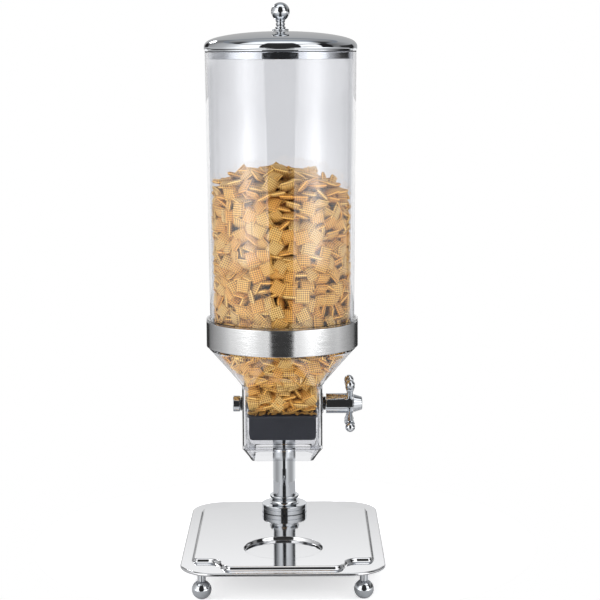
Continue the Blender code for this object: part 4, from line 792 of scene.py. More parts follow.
# %% [markdown]
# ## Feet, pole and flange
# Four polished balls with short necks stand under the rim. The pole rises from a thick flange that is
# turned in two steps, with a flared ring in its neck. All are simple outlines on the lathe.

# %% Turn the feet
BALL, FLAT, NECK, NECK_TOP, STUD_HOLE, HOLE_DROP = 0.0107, 0.0042, 0.0045, 0.0284, 0.0028, 0.00425
FOOT_X, FOOT_Y = 0.088, 0.135


def upright(x, y):
    return Matrix.Translation((x, y, 0.0))


centre = math.sqrt(BALL ** 2 - FLAT ** 2)
low_angle = -math.degrees(math.asin(centre / BALL))
neck_angle = math.degrees(math.acos(NECK / BALL))
foot = [
    (0.0, 0.0), *arc(centre, BALL, low_angle, neck_angle, 28), (NECK, NECK_TOP), (STUD_HOLE, NECK_TOP),
    (STUD_HOLE, centre - HOLE_DROP), (0.0, centre - HOLE_DROP),
]
for side, x in (("left", -FOOT_X), ("right", FOOT_X)):
    for end, y in (("front", -FOOT_Y), ("back", FOOT_Y)):
        turned(f"ball_foot_{end}_{side}", foot, "chrome", "stand", [f"foot_ball_{end}_{side}"],
               upright(x, y), 64, ring=False)
print("feet: 4, ball", BALL * 2000, "mm across")

# %% Turn the flange, the neck ring, the pole and its cap
POLE, POLE_WALL, POLE_HIGH, SLIP = 0.0136, 0.0015, 0.29, 0.0003
FLANGE_R, FLANGE_HEIGHT, GROOVE_R, GROOVE_HALF = 0.027, 0.0098, 0.0264, 0.0004
NECK_RING_R, NECK_RING_HEIGHT = 0.01775, 0.01
PLUG_R, PLUG_DEPTH, CAP_RISE = 0.0118, 0.008, 0.003

flange_low, flange_high = PANEL_TOP + SLIP, PANEL_TOP + SLIP + FLANGE_HEIGHT
middle = (flange_low + flange_high) / 2
at_pole = upright(0.0, POLE_Y)
turned("flange", [
    (POLE + SLIP, flange_low), (FLANGE_R, flange_low, 0.0006), (FLANGE_R, middle - GROOVE_HALF, 0.0002),
    (GROOVE_R, middle), (FLANGE_R, middle + GROOVE_HALF, 0.0002), (FLANGE_R, flange_high, 0.0009),
    (POLE + SLIP, flange_high),
], "chrome", "stand", ["pole_flange"], at_pole, 128)
neck_low = flange_high + SLIP
neck = curve_through([
    (NECK_RING_R, neck_low), (0.016, neck_low + 0.0016), (0.0156, neck_low + 0.0036),
    (0.0158, neck_low + 0.0056), (NECK_RING_R, neck_low + 0.0078),
])
turned("neck_ring", [
    (POLE + SLIP, neck_low), *neck,
    (NECK_RING_R, neck_low + NECK_RING_HEIGHT, 0.0005), (POLE + SLIP, neck_low + NECK_RING_HEIGHT),
], "chrome", "stand", ["pole_neck_ring"], at_pole, 128)
sleeve("pole_tube", POLE - POLE_WALL, POLE, flange_low, POLE_HIGH, (0, 0, 0.0003, 0),
       "chrome", "stand", ["pole"], at_pole, 128)
cap_low = POLE_HIGH + SLIP
quarter_turn = [math.pi / 2 * step / 16 for step in range(16)]
turned("pole_cap", [
    (0.0, cap_low - PLUG_DEPTH), (PLUG_R, cap_low - PLUG_DEPTH), (PLUG_R, cap_low),
    *[(POLE * math.cos(a), cap_low + CAP_RISE * math.sin(a)) for a in quarter_turn],
    (0.0, cap_low + CAP_RISE),
], "chrome", "stand", ["pole_top_cap"], at_pole, 96, ring=False)
print("pole:", round((POLE_HIGH - flange_low) * 1000), "mm tall")

# %% [markdown]
# ## Ring and canister
# A flat satin ring carries the canister. The tube is moulded with a little draft, so it is 3 mm more in
# radius at its mouth. Its foot stands inside the ring in a clear funnel, whose thin lip lies on the ring's
# top edge.

# %% Turn the ring and the tube
RING_IN, RING_OUT, RING_LOW, RING_HIGH = 0.083, 0.0845, 0.2625, 0.2915
TUBE_LOW, TUBE_HIGH, FOOT_R, MOUTH_R, TUBE_WALL = 0.2685, 0.5866, 0.08, 0.083, 0.003
GASKET_IN, GASKET_LOW, GASKET_HIGH = 0.077, 0.2666, 0.2682
ROUNDED = (0.0004,) * 4
at_canister = upright(0.0, CANISTER_Y)
sleeve("carrier_ring", RING_IN, RING_OUT, RING_LOW, RING_HIGH, ROUNDED,
       "brushed_steel", "stand", ["support_ring"], at_canister, 192)
turned("canister", [
    (FOOT_R - TUBE_WALL, TUBE_LOW, 0.0003), (FOOT_R, TUBE_LOW, 0.0003),
    (MOUTH_R, TUBE_HIGH, 0.0006), (MOUTH_R - TUBE_WALL, TUBE_HIGH, 0.0006),
], "clear_plastic", "stand", ["canister_tube"], at_canister, 192)
sleeve("gasket", GASKET_IN, FOOT_R, GASKET_LOW, GASKET_HIGH, ROUNDED,
       "clear_silicone", "stand", ["tube_gasket"], at_canister, 128)
mean_radius = (FOOT_R + MOUTH_R) / 2 - TUBE_WALL
print("canister holds up to", round(math.pi * mean_radius ** 2 * (TUBE_HIGH - TUBE_LOW) * 1000, 1), "litres")

# %% [markdown]
# ## Funnel, valve box and spout
# The funnel starts as a circle and ends as the valve box's rounded rectangle. Both are drawn as points in
# the same directions from the axis, so one can pass into the other level by level, and a wall comes from
# going down the outside and back up the inside. The spout below the box narrows the same way.

# %% Level outlines round the axis
BOX_WIDTH, BOX_DEPTH, BOX_CORNER, BOX_WALL = 0.0883, 0.095, 0.008, 0.003
LOFT_CRISP = math.radians(32)


def directions(sides=10, corners=10):
    """Directions from the axis, closer together round the box's corners."""
    x, y = BOX_WIDTH / 2 - BOX_CORNER, BOX_DEPTH / 2 - BOX_CORNER
    turns = [math.pi / 2 * step / corners for step in range(corners + 1)]
    corner = [math.atan2(y + BOX_CORNER * math.sin(t), x + BOX_CORNER * math.cos(t)) for t in turns]
    first = [corner[0] * step / sides for step in range(sides)]
    last = [corner[-1] + (math.pi / 2 - corner[-1]) * step / sides for step in range(1, sides)]
    quarter = first + corner + last
    half = quarter + [math.pi / 2] + [math.pi - angle for angle in reversed(quarter[1:])]
    return half + [angle + math.pi for angle in half]


def reach(angle, half_width, half_depth, corner):
    """How far a direction reaches from the middle to the side of a rounded rectangle."""
    across, along = abs(math.cos(angle)), abs(math.sin(angle))
    x, y = half_width - corner, half_depth - corner
    if along * half_width <= y * across:
        return half_width / across
    if across * half_depth <= x * along:
        return half_depth / along
    middle = x * across + y * along
    return middle + math.sqrt(max(middle * middle - x * x - y * y + corner * corner, 0.0))


def level(half_width, half_depth, corner, z):
    lengths = [(angle, reach(angle, half_width, half_depth, corner)) for angle in directions()]
    return [(length * math.cos(angle), length * math.sin(angle), z) for angle, length in lengths]


def round_level(radius, z):
    return level(radius, radius, radius, z)


def box_level(inset, z):
    return level(BOX_WIDTH / 2 - inset, BOX_DEPTH / 2 - inset, BOX_CORNER - inset, z)


def lofted(name, levels, nodes, extra=None):
    """Joins level outlines into one closed wall of clear plastic."""
    build = bmesh.new()
    loops = [[build.verts.new(point) for point in points] for points in levels]
    join(build, [*loops, loops[0]])
    if extra is not None:
        extra(build)
    return seat(build, name, "clear_plastic", "stand", nodes, at_canister, LOFT_CRISP)


print("points in a level outline:", len(directions()))

# %% Loft the funnel
LIP_R, LIP_LOW, LIP_HIGH, LIP_EDGE = 0.0843, 0.2918, 0.2938, 0.0004
RIM_OUT, RIM_IN, LEDGE_R, LEDGE_Z = 0.0826, 0.08074, 0.0765, 0.2663
CONE_HIGH, CONE_LOW, CONE_R, CONE_BULGE, CONE_STEPS = 0.26, 0.2238, 0.0818, 0.035, 14
TONGUE = 0.003
half_wall = BOX_WALL / 2 + SLIP


def cone_size(share):
    """Half width, half depth and corner at one level of the cone, from the circle at 0 to the box at 1."""
    into = share + CONE_BULGE * math.sin(math.pi * share) * share
    return [CONE_R + (size - CONE_R) * into for size in (BOX_WIDTH / 2, BOX_DEPTH / 2, BOX_CORNER)]


def cone(share, inset=0.0):
    """One level of the cone, which bulges a little on its way into the box."""
    return level(*[size - inset for size in cone_size(share)], CONE_HIGH + (CONE_LOW - CONE_HIGH) * share)


down_cone = [step / CONE_STEPS for step in range(CONE_STEPS + 1)]
lofted("funnel", [
    round_level(LIP_R - LIP_EDGE, LIP_HIGH), round_level(LIP_R, LIP_HIGH - LIP_EDGE),
    round_level(LIP_R, LIP_LOW), round_level(RIM_OUT, LIP_LOW), *[cone(share) for share in down_cone],
    box_level(half_wall, CONE_LOW), box_level(half_wall, CONE_LOW - TONGUE),
    box_level(BOX_WALL, CONE_LOW - TONGUE),
    *[cone(share, BOX_WALL) for share in reversed(down_cone)],
    round_level(LEDGE_R, LEDGE_Z), round_level(RIM_IN, LEDGE_Z), round_level(RIM_IN, LIP_HIGH),
], ["hopper_funnel"])
print("levels down the cone:", len(down_cone))

# %% Loft the valve box and the spout
BOX_HIGH, BOX_LOW, REBATE = 0.2235, 0.153, 0.0033
SPOUT_LOW, SPOUT_WIDTH, SPOUT_DEPTH, SPOUT_CORNER = 0.139, 0.0685, 0.085, 0.007
AXIS_Z, BOSS_FACE, BOSS_R, BUSH_HOLE, BOSS_SUNK = 0.1955, BOX_WIDTH / 2 + 0.0015, 0.011, 0.0065, 0.0002


def bush_boss(build):
    """The raised ring on the handle's side, round the hole for the bush."""
    foot = BOX_WIDTH / 2 - BOSS_SUNK
    points = outline([(BUSH_HOLE, foot), (BOSS_R, foot), (BOSS_R, BOSS_FACE, 0.0007), (BUSH_HOLE, BOSS_FACE)])
    before = set(build.verts)
    spin(build, points, 96, True)
    lay_over = Matrix.Translation((0.0, 0.0, AXIS_Z)) @ Matrix.Rotation(math.pi / 2, 4, "Y")
    bmesh.ops.transform(build, verts=[vert for vert in build.verts if vert not in before], matrix=lay_over)


lofted("valve_box", [
    box_level(0.0, BOX_HIGH), box_level(0.0, BOX_LOW), box_level(BOX_WALL / 2, BOX_LOW),
    box_level(BOX_WALL / 2, BOX_LOW + REBATE), box_level(BOX_WALL, BOX_LOW + REBATE),
    box_level(BOX_WALL, BOX_HIGH - REBATE), box_level(BOX_WALL / 2, BOX_HIGH - REBATE),
    box_level(BOX_WALL / 2, BOX_HIGH),
], ["valve_housing"], bush_boss)
spout_top = BOX_LOW - SLIP


def spout_level(inset):
    return level(SPOUT_WIDTH / 2 - inset, SPOUT_DEPTH / 2 - inset, SPOUT_CORNER - inset, SPOUT_LOW)


lofted("spout", [
    box_level(half_wall, spout_top + TONGUE), box_level(half_wall, spout_top), box_level(0.0, spout_top),
    spout_level(0.0), spout_level(BOX_WALL), box_level(BOX_WALL, spout_top),
    box_level(BOX_WALL, spout_top + TONGUE),
], ["outlet_spout"])
print("valve box:", round(BOX_WIDTH * 1000, 1), "x", round(BOX_DEPTH * 1000, 1), "mm")

# %% [markdown]
# ## Rotor and handle
# A shaft across the box carries a hub with four rubber paddles. Each turn of the handle brings a pocket of
# cereal round to the spout. These pieces turn about an axis that runs from side to side, so their outlines
# are spun about Z and then laid over. The paddles get their moulded edges from a bevel.

# %% Lay lathe shapes along the shaft
AT_SHAFT = Matrix.Translation((0.0, CANISTER_Y, AXIS_Z))
TO_RIGHT, TO_LEFT = [AT_SHAFT @ Matrix.Rotation(way * math.pi / 2, 4, "Y") for way in (1, -1)]
BORE, BUSH_IN, BUSH_R, BUSH_HEAD_R = 0.0043, 0.0402, 0.0062, 0.0075
RIGHT_HEAD, LEFT_HEAD, WASHER_R, WASHER = 0.0024, 0.0012, 0.008, 0.001
NUT_R, NUT_LENGTH, NUT_END, NUT_BEVEL = 0.00895, 0.0082, 0.0014, 0.0012

for name, face, head, edge_round, place in (
    ("right", BOSS_FACE, RIGHT_HEAD, 0.0004, TO_RIGHT), ("left", BOX_WIDTH / 2, LEFT_HEAD, 0.0003, TO_LEFT),
):
    turned(name + "_bush", [
        (BORE, BUSH_IN), (BUSH_R, BUSH_IN), (BUSH_R, face + SLIP), (BUSH_HEAD_R, face + SLIP, 0.0003),
        (BUSH_HEAD_R, face + SLIP + head, edge_round), (BORE, face + SLIP + head),
    ], "black_plastic", "stand", ["bush_" + name], place, 64)
washer_in = BOX_WIDTH / 2 + SLIP + LEFT_HEAD + SLIP
sleeve("thin_washer", BORE, WASHER_R, washer_in, washer_in + WASHER, (0, 0.0002, 0.0002, 0),
       "black_plastic", "rotor", ["axle_washer"], TO_LEFT, 64)
nut_in = washer_in + WASHER + SLIP
nut_out = nut_in + NUT_LENGTH
turned("round_nut", [
    (0.0, nut_out - NUT_END), (BORE, nut_out - NUT_END), (BORE, nut_in), (NUT_R - NUT_BEVEL, nut_in),
    (NUT_R, nut_in + NUT_BEVEL, 0.0004), (NUT_R, nut_out, 0.0007), (0.0, nut_out),
], "chrome", "rotor", ["axle_nut"], TO_LEFT, 96, ring=False)
print("nut reaches x =", round(-nut_out * 1000, 1), "mm")

# %% Turn the barrel, the cap, the spokes and their balls
BARREL, BARREL_LENGTH, CAP_BORE_END, CAP_LENGTH = 0.0113, 0.0305, 0.0068, 0.0098
SPOKE_INSET, SPOKE_ANGLE, SPOKE_ROOT, SPOKE_R = 0.004, -41, 0.0065, 0.0025
FLARE_END, FLARE_R, KNOB = BARREL + 0.0182, 0.0049, 0.0054
BALL_AT, SEAT_R = FLARE_END + 0.0042, 0.0042

barrel_in = BOSS_FACE + SLIP + RIGHT_HEAD + SLIP
barrel_out = barrel_in + BARREL_LENGTH
sleeve("barrel", BORE, BARREL, barrel_in, barrel_out, (0, 0.0006, 0.0006, 0),
       "chrome", "rotor", ["handle_hub"], TO_RIGHT, 128)
cap_in = barrel_out + SLIP
turned("barrel_cap", [
    (0.0, cap_in + CAP_BORE_END), (BORE, cap_in + CAP_BORE_END), (BORE, cap_in), (0.0103, cap_in, 0.0004),
    (0.0072, cap_in + CAP_LENGTH, 0.0014), (0.0, cap_in + CAP_LENGTH),
], "chrome", "rotor", ["handle_cap"], TO_RIGHT, 96, ring=False)
flare = curve_through([
    (SPOKE_R, BARREL + 0.001), (0.003, BARREL + 0.0058), (0.0038, BARREL + 0.0112),
    (0.0052, FLARE_END - 0.0006),
], 6)
dish = arc(BALL_AT, KNOB + SLIP, -math.degrees(math.asin(SEAT_R / (KNOB + SLIP))), -72, 8)
spoke = [
    (0.0, SPOKE_ROOT), (SPOKE_R, SPOKE_ROOT), *flare, (FLARE_R, FLARE_END), *dish,
    (0.0015, BALL_AT - SLIP), (0.0, BALL_AT - SLIP),
]
ball = [(0.0, BALL_AT), (0.0018, BALL_AT), *arc(BALL_AT, KNOB, -70.5, 90, 28)]
spoke_x = barrel_out - SPOKE_INSET
for number in range(4):
    turn = math.radians(SPOKE_ANGLE + 90 * number)
    place = Matrix.Translation((spoke_x, CANISTER_Y, AXIS_Z)) @ Matrix.Rotation(-turn, 4, "X")
    for name, points, solid in (("spoke_", spoke, "handle_spoke_"), ("spoke_ball_", ball, "handle_ball_")):
        solids = [solid + str(number + 1)]
        turned(name + str(number + 1), points, "chrome", "rotor", solids, place, 64, ring=False)
print("handle spans", round((BALL_AT + KNOB) * 2000, 1), "mm")

# %% Mould the paddles
REST = math.radians(-99)
HALF, ROOT, TIP, THICK = 0.039, 0.0072, 0.0439, 0.0026
ROOT_ROUND, TIP_ROUND, EDGE_ROUND, EDGE_ANGLE = 0.0005, 0.007, 0.0005, 1.2
for number in range(4):
    build = bmesh.new()
    points = outline([
        (HALF, ROOT, ROOT_ROUND), (HALF, TIP, TIP_ROUND), (-HALF, TIP, TIP_ROUND), (-HALF, ROOT, ROOT_ROUND),
    ])
    face = build.faces.new([build.verts.new((p.x, p.y, -THICK / 2)) for p in points])
    grown = bmesh.ops.extrude_face_region(build, geom=[face])["geom"]
    far_side = [part for part in grown if isinstance(part, bmesh.types.BMVert)]
    bmesh.ops.translate(build, verts=far_side, vec=(0, 0, THICK))
    rims = [e for e in build.edges if len(e.link_faces) == 2 and e.calc_face_angle(0) > EDGE_ANGLE]
    bmesh.ops.bevel(build, geom=rims, offset=EDGE_ROUND, segments=3, affect="EDGES", profile=0.5)
    turn = REST + math.pi / 2 * number
    place = AT_SHAFT @ Matrix.Rotation(math.pi / 2 - turn, 4, "X")
    seat(build, f"paddle_{number + 1}", "dark_rubber", "rotor", [f"rotor_vane_{number + 1}"], place)
print("paddles: 4, each", round(2 * HALF * 1000), "mm wide")

# %% [markdown]
# ## Lid
# The lid is a shallow dome of mirror-polished sheet with a rounded shoulder, a skirt that drops into the
# canister, a thin dark seal between them and a ball knob on turned beads. The dome's outline is one smooth
# curve, since any kink in it would show as a step in the reflections.

# %% Turn the dome and the seal
SEAL_HEIGHT, LID_R, LID_RISE, THIN = 0.0011, 0.084, 0.0206, 0.0012
DOME_IN, SCREW_HOLE, DOME_CRISP = 0.0798, 0.0023, math.radians(50)
# Shares of the lid's radius and heights over its rim, from the rim to the knob
SHOULDER = (
    (0.994, 0.0056), (0.97, 0.0088), (0.92, 0.0116), (0.82, 0.0144), (0.66, 0.017), (0.46, 0.019),
    (0.24, 0.0202),
)
SEAL_IN, SEAL_OUT, SEAL_OVER, SEAL_UP = 0.0802, 0.0828, 0.00005, 0.0007

seal_low = TUBE_HIGH + SLIP
rim_low = seal_low + SEAL_HEIGHT + SLIP
shoulder = curve_through([
    (LID_R - 0.0006, rim_low), (LID_R, rim_low + 0.0022), *[(LID_R * x, rim_low + z) for x, z in SHOULDER],
    (SCREW_HOLE, rim_low + LID_RISE),
], 6)
inner = []
for before, here, after in zip(shoulder, shoulder[1:], shoulder[2:]):
    along = (after - before).normalized()
    inner.append(here + Vector((-along.y, along.x)) * THIN)
inner = [p for p in inner if p.y > rim_low + THIN]
turned("dome", [
    (DOME_IN, rim_low), (LID_R - 0.0012, rim_low), *shoulder, (SCREW_HOLE, rim_low + LID_RISE - THIN),
    *reversed(inner), (LID_R - 0.0014, rim_low + THIN), (DOME_IN, rim_low + THIN),
], "chrome", "lid", ["lid_dome"], at_canister, 256, crisp=DOME_CRISP)
seal_rounds = (0.0003, 0.0002, 0.0002, 0.0003)
sleeve("seal", SEAL_IN, SEAL_OUT, seal_low - SLIP + SEAL_OVER, seal_low + SEAL_UP, seal_rounds,
       "dark_rubber", "lid", ["lid_seal"], at_canister, 192)
print("lid:", round(LID_R * 2000), "mm across, dome", round(LID_RISE * 1000, 1), "mm high")

# %% Finish the lid with its skirt and its knob
SKIRT_IN, SKIRT_OUT, SKIRT_LOW, SKIRT_FLANGE, SKIRT_SHEET = 0.0782, 0.0792, 0.5787, 0.0812, 0.001
KNOB_BALL, KNOB_HEIGHT, SCREW_DEPTH, WAIST_R = 0.01025, 0.0311, 0.012, 0.0053
FOOT_BEAD, BEAD_AT = 0.001, 0.0081
# Radius of the knob's turned beads, and their height over its foot
BEADS = (
    (0.0078, 0.002), (0.0053, 0.0023), (0.0057, 0.0034), (0.0051, 0.0047), (0.0044, 0.0053),
    (0.0052, 0.0071), (0.0044, 0.0089), (0.0049, 0.0098), (0.0054, 0.0107), (0.0049, 0.0116),
)

skirt_high = rim_low + THIN + SLIP
turned("skirt", [
    (SKIRT_IN, SKIRT_LOW), (SKIRT_OUT, SKIRT_LOW, 0.0003), (SKIRT_OUT, skirt_high),
    (SKIRT_FLANGE, skirt_high), (SKIRT_FLANGE, skirt_high + SKIRT_SHEET),
    (SKIRT_IN, skirt_high + SKIRT_SHEET),
], "chrome", "lid", ["lid_skirt"], at_canister, 192)
apex = rim_low + LID_RISE
foot_low = apex + SLIP
foot_bead = arc(foot_low + FOOT_BEAD, FOOT_BEAD, -90, 80, 10)
waist_angle = -math.degrees(math.acos(WAIST_R / KNOB_BALL))
turned("knob", [
    (0.0, foot_low + SCREW_DEPTH), (SCREW_HOLE, foot_low + SCREW_DEPTH), (SCREW_HOLE, foot_low),
    *[point + Vector((BEAD_AT, 0.0)) for point in foot_bead],
    *curve_through([(radius, foot_low + z) for radius, z in BEADS], 5),
    *arc(apex + KNOB_HEIGHT - KNOB_BALL, KNOB_BALL, waist_angle, 90, 40),
], "chrome", "lid", ["lid_knob"], at_canister, 128, ring=False)
print("knob ball:", round(KNOB_BALL * 2000, 1), "mm across")

# %% [markdown]
# ## Cereal
# The canister holds woven wheat squares. They are its contents, no part of the dispenser, so they have no
# solid. The weave is drawn by the shader: two rows of sine waves cross, and where both are high there is a
# hole, which lies deeper and is painted dark brown as painted shade. Each square has a tone of its own, and
# a noise toasts it in patches.

# %% The finish of the cereal
STRANDS, HOLE_FROM, HOLE_TO, HOLE_SHADE_SHARE = 7.0, 0.25, 0.8, 0.95
TOAST_SCALE, TOAST_DETAIL, TOAST_PATCHES, TOAST_LUMPS = 140.0, 4.0, 0.6, 0.35
LUMP_STRENGTH, LUMP_HEIGHT = 0.9, 0.001
# Painted shade: the dark brown given to the holes of the weave, for the shade that falls inside them
PAINTED_SHADE_IN_HOLES = (0.2, 0.065, 0.012)
CRUST = (
    (0.15, (0.85, 0.335, 0.045)), (0.45, (0.96, 0.465, 0.08)), (0.75, (0.98, 0.56, 0.125)),
    (1.0, (0.98, 0.65, 0.21)),
)

tree, shader = finish("toasted_wheat", (0.78, 0.44, 0.13), 0.0, 0.6)
square = node(tree, "ShaderNodeUVMap", ("uv_map", "UVMap"))
sides = node(tree, "ShaderNodeSeparateXYZ", Vector=square).outputs
strands = [
    maths(tree, "ABSOLUTE", maths(tree, "SINE", maths(tree, "MULTIPLY", sides[side], math.pi * STRANDS)))
    for side in ("X", "Y")
]
hole = passes(tree, maths(tree, "MINIMUM", *strands), HOLE_FROM, HOLE_TO)
tone = node(tree, "ShaderNodeAttribute", ("attribute_name", "tone")).outputs["Fac"]
toast = noise(tree, TOAST_SCALE, detail=TOAST_DETAIL)
crust = ramp(tree, maths(tree, "MULTIPLY_ADD", toast, TOAST_PATCHES, tone), CRUST)
# The holes get painted shade, mixed over the crust's own colour by the hole mask
crust_and_hole_shade = blend_of(tree, maths(tree, "MULTIPLY", hole, HOLE_SHADE_SHARE), crust, PAINTED_SHADE_IN_HOLES)
tree.links.new(crust_and_hole_shade, shader.inputs["Base Color"])
lumps = maths(tree, "MULTIPLY_ADD", toast, TOAST_LUMPS, maths(tree, "SUBTRACT", 1.0, hole))
bump(tree, shader, lumps, LUMP_STRENGTH, LUMP_HEIGHT)
lay_out(tree)
print("strands across one square:", STRANDS)

# %% [markdown]
# ### A heap in plain code
# A short pile-up gives every square a place and a turn. The squares start in rings inside the wall, then
# push each other apart and stay off the walls and the paddles. The squares within the paddles' reach turn
# with the rotor. The middle of the heap can't be seen, so most of it stays empty. One seeded dice makes it
# fall the same way each time.

# %% Where the walls, the paddles and the top of the heap are
dice = random.Random(7)
SQUARE, THICKNESS, CLEAR, WALL_GAP, FUNNEL_MOST = 0.0166, 0.0054, 0.0007, 0.0004, 0.0768
SWEPT, SHAFT_ROOM, POCKET_HALF, AT_AXIS, ON_SHAFT = 0.044, 0.0108, 0.0402, 0.0001, 0.0005
PADDLES = [REST + math.pi / 2 * number for number in range(4)]
CEREAL_POCKETS = (0, 1)
HEAP_TOP, HEAP_DROP, HEAP_CURVE, HEAP_LEAN, HEAP_R, HEAP_FORWARD = 0.4575, 0.036, 4.4, 0.013, 0.08, 0.004


def inner_wall(angle, z):
    """How far a direction reaches from the axis to the inside of the clear wall at a height."""
    if z >= LEDGE_Z:
        return FOOT_R - TUBE_WALL + (MOUTH_R - FOOT_R) * max(z - TUBE_LOW, 0.0) / (TUBE_HIGH - TUBE_LOW)
    share = min(max((CONE_HIGH - z) / (CONE_HIGH - CONE_LOW), 0.0), 1.0)
    return min(reach(angle, *[size - BOX_WALL - WALL_GAP for size in cone_size(share)]), FUNNEL_MOST)


def over_wall(point):
    """How far a point lies outside the clear wall, and the level direction away from the axis."""
    out = Vector((point.x, point.y - CANISTER_Y, 0.0))
    length = max(out.length, AT_AXIS)
    return length - inner_wall(math.atan2(out.y, out.x), point.z) + CLEAR, out / length


def top_of_pile(x, y):
    """The height of the heap, which falls towards the wall and to the right."""
    radius = min(math.hypot(x, y - CANISTER_Y + HEAP_FORWARD) / HEAP_R, 1.0)
    return HEAP_TOP - HEAP_DROP * radius ** HEAP_CURVE - HEAP_LEAN * max(x, 0.0) / HEAP_R


def off_paddle(point, angle):
    """How far a point is from a paddle's plane, counted round towards the back."""
    y, z = point.y - CANISTER_Y, point.z - AXIS_Z
    return y * math.cos(angle) - z * math.sin(angle)


print("cereal squares are", SQUARE * 1000, "mm wide")

# %% Keep a square off the walls, the paddles and the paddles' reach
# A square is tested by points of its cushion, first by its corners and its two middles
HALF_SQUARE, HALF_THICK = SQUARE / 2 * 0.96, THICKNESS / 2
SIGNS = (-1, 1)
TIPS = [Vector((x * HALF_SQUARE, y * HALF_SQUARE, 0.0)) for x in SIGNS for y in SIGNS]
TIPS += [Vector((0.0, 0.0, HALF_THICK)), Vector((0.0, 0.0, -HALF_THICK))]
# At the end by its full outline: its corners, and rows of points inside its edges, with the thickness there
ROWS_OF_POINTS = ((0.81, 0.81, 0.75), (0.81, 0.31, 0.85), (0.31, 0.81, 0.85), (0.31, 0.31, 1.0))
FULL_TIPS = [Vector((x * SQUARE / 2, y * SQUARE / 2, 0.0)) for x in SIGNS for y in SIGNS]
for across, along, thick in ROWS_OF_POINTS:
    FULL_TIPS += [
        Vector((x * across * SQUARE / 2, y * along * SQUARE / 2, side * thick * HALF_THICK))
        for x in SIGNS for y in SIGNS for side in SIGNS
    ]
REACH_GAP, POCKET_GAP, PADDLE_GAP, CRUMB_STRIP, STRIP_HIGH = 0.0004, 0.0003, 0.0019, 0.0036, 0.006


def wall_push(place, turn, pocket, tips):
    """How far the worst tip is inside something, and the move that clears it."""
    worst, move = 0.0, None
    for tip in [place + turn @ tip for tip in tips]:
        y, z = tip.y - CANISTER_Y, tip.z - AXIS_Z
        distance = max(math.hypot(y, z), ON_SHAFT)
        outwards = Vector((0.0, y, z)) / distance
        excess, out = over_wall(tip)
        tests = [(excess, -out)]
        if pocket is None:
            tests.append((SWEPT + REACH_GAP - distance, outwards))
        else:
            over_front = pocket == 0 and off_paddle(tip, PADDLES[0]) < STRIP_HIGH
            tests.append((distance - SWEPT + (CRUMB_STRIP if over_front else POCKET_GAP), -outwards))
            tests.append((SHAFT_ROOM - distance, outwards))
            tests.append((abs(tip.x) - POCKET_HALF, Vector((-math.copysign(1.0, tip.x), 0.0, 0.0))))
            for angle, way in ((PADDLES[pocket], 1.0), (PADDLES[pocket] + math.pi / 2, -1.0)):
                across = Vector((0.0, math.cos(angle), -math.sin(angle))) * way
                tests.append((PADDLE_GAP - off_paddle(tip, angle) * way, across))
        for excess, away in tests:
            if excess > worst:
                worst, move = excess, away * excess
    return worst, move


print("points tested on a square:", len(TIPS), "then", len(FULL_TIPS))

# %% How a square comes to lie
LEAN_SPREAD, POCKET_EDGE = 0.4, 0.002
STEEP_ON_TOP, STEEP_INSIDE = (0.4, 0.3), (0.5, 0.4)
LAYER_STEP, AROUND_STEP, UP_STEP, OFF_WALL, LEAST_RADIUS = 0.0098, 0.014, 0.0104, 0.0055, 0.005
HEAP_LOW, HEAP_HIGH, HOLLOW_LOW, HOLLOW_HIGH, HOLLOW_STEP = 0.172, 0.47, 0.245, 0.432, 0.004
JITTER_AROUND, JITTER_UP, TOP_LAYER, SAMPLE_ANGLE, ROW_SHIFT = 0.3, 0.003, 0.012, 0.9, 0.5
# The share of squares that lean on the wall, from the outermost layer inwards, and how many layers are full
FACING_WALL, FULL_LAYERS, FACING_ON_TOP = (0.65, 0.4, 0.2, 0.1, 0.1, 0.1, 0.1), 3, 0.4


def random_turn(out, faces_wall, on_top):
    """Some squares lean on the wall and show their weave. The rest lie as they fell, and flatter on top."""
    if faces_wall:
        lean = Matrix.Rotation(dice.gauss(0, LEAN_SPREAD), 3, "X")
        lean = lean @ Matrix.Rotation(dice.gauss(0, LEAN_SPREAD), 3, "Y")
        flat = out.to_track_quat("Z", "Y").to_matrix()
        return flat @ lean @ Matrix.Rotation(dice.uniform(0, math.pi), 3, "Z")
    steepness = dice.gauss(*(STEEP_ON_TOP if on_top else STEEP_INSIDE))
    tilt = Matrix.Rotation(dice.uniform(0, 2 * math.pi), 3, "Z") @ Matrix.Rotation(steepness, 3, "X")
    return tilt @ Matrix.Rotation(dice.uniform(0, math.pi), 3, "Z")


def pocket_at(here):
    """The pocket between two paddles that a place is in, or None, and how far the place is from the shaft."""
    y, up = here.y - CANISTER_Y, here.z - AXIS_Z
    distance = math.hypot(y, up)
    if distance < SWEPT - POCKET_EDGE:
        return int((math.atan2(y, up) - REST) // (math.pi / 2)) % 4, distance
    return None, distance


print("most squares by the wall lean on it:", FACING_WALL[0])

# %% Drop the squares in rings
def ring_radius(angle, z, layer):
    return inner_wall(angle, z) - OFF_WALL - layer * LAYER_STEP


def drop_layer(dropped, z, row, layer):
    """One ring of squares, as far as it lies in the heap."""
    count = max(round(2 * math.pi * ring_radius(SAMPLE_ANGLE, z, layer) / AROUND_STEP), 3)
    for step in range(count):
        steps_round = step + row * ROW_SHIFT + dice.uniform(-JITTER_AROUND, JITTER_AROUND)
        angle = 2 * math.pi * steps_round / count + layer
        out = Vector((math.cos(angle), math.sin(angle), 0.0))
        here = out * ring_radius(angle, z, layer)
        here += Vector((0.0, CANISTER_Y, z + dice.uniform(-JITTER_UP, JITTER_UP)))
        pocket, distance = pocket_at(here)
        if here.z > top_of_pile(here.x, here.y) or (pocket is None and here.z < AXIS_Z):
            continue
        if pocket is not None and (pocket not in CEREAL_POCKETS or distance < SHAFT_ROOM):
            continue
        on_top = here.z > top_of_pile(here.x, here.y) - TOP_LAYER
        fewer = FACING_ON_TOP if on_top or pocket is not None else 1.0
        faces_wall = dice.random() < FACING_WALL[layer] * fewer
        dropped.append([here, random_turn(out, faces_wall, on_top), pocket])


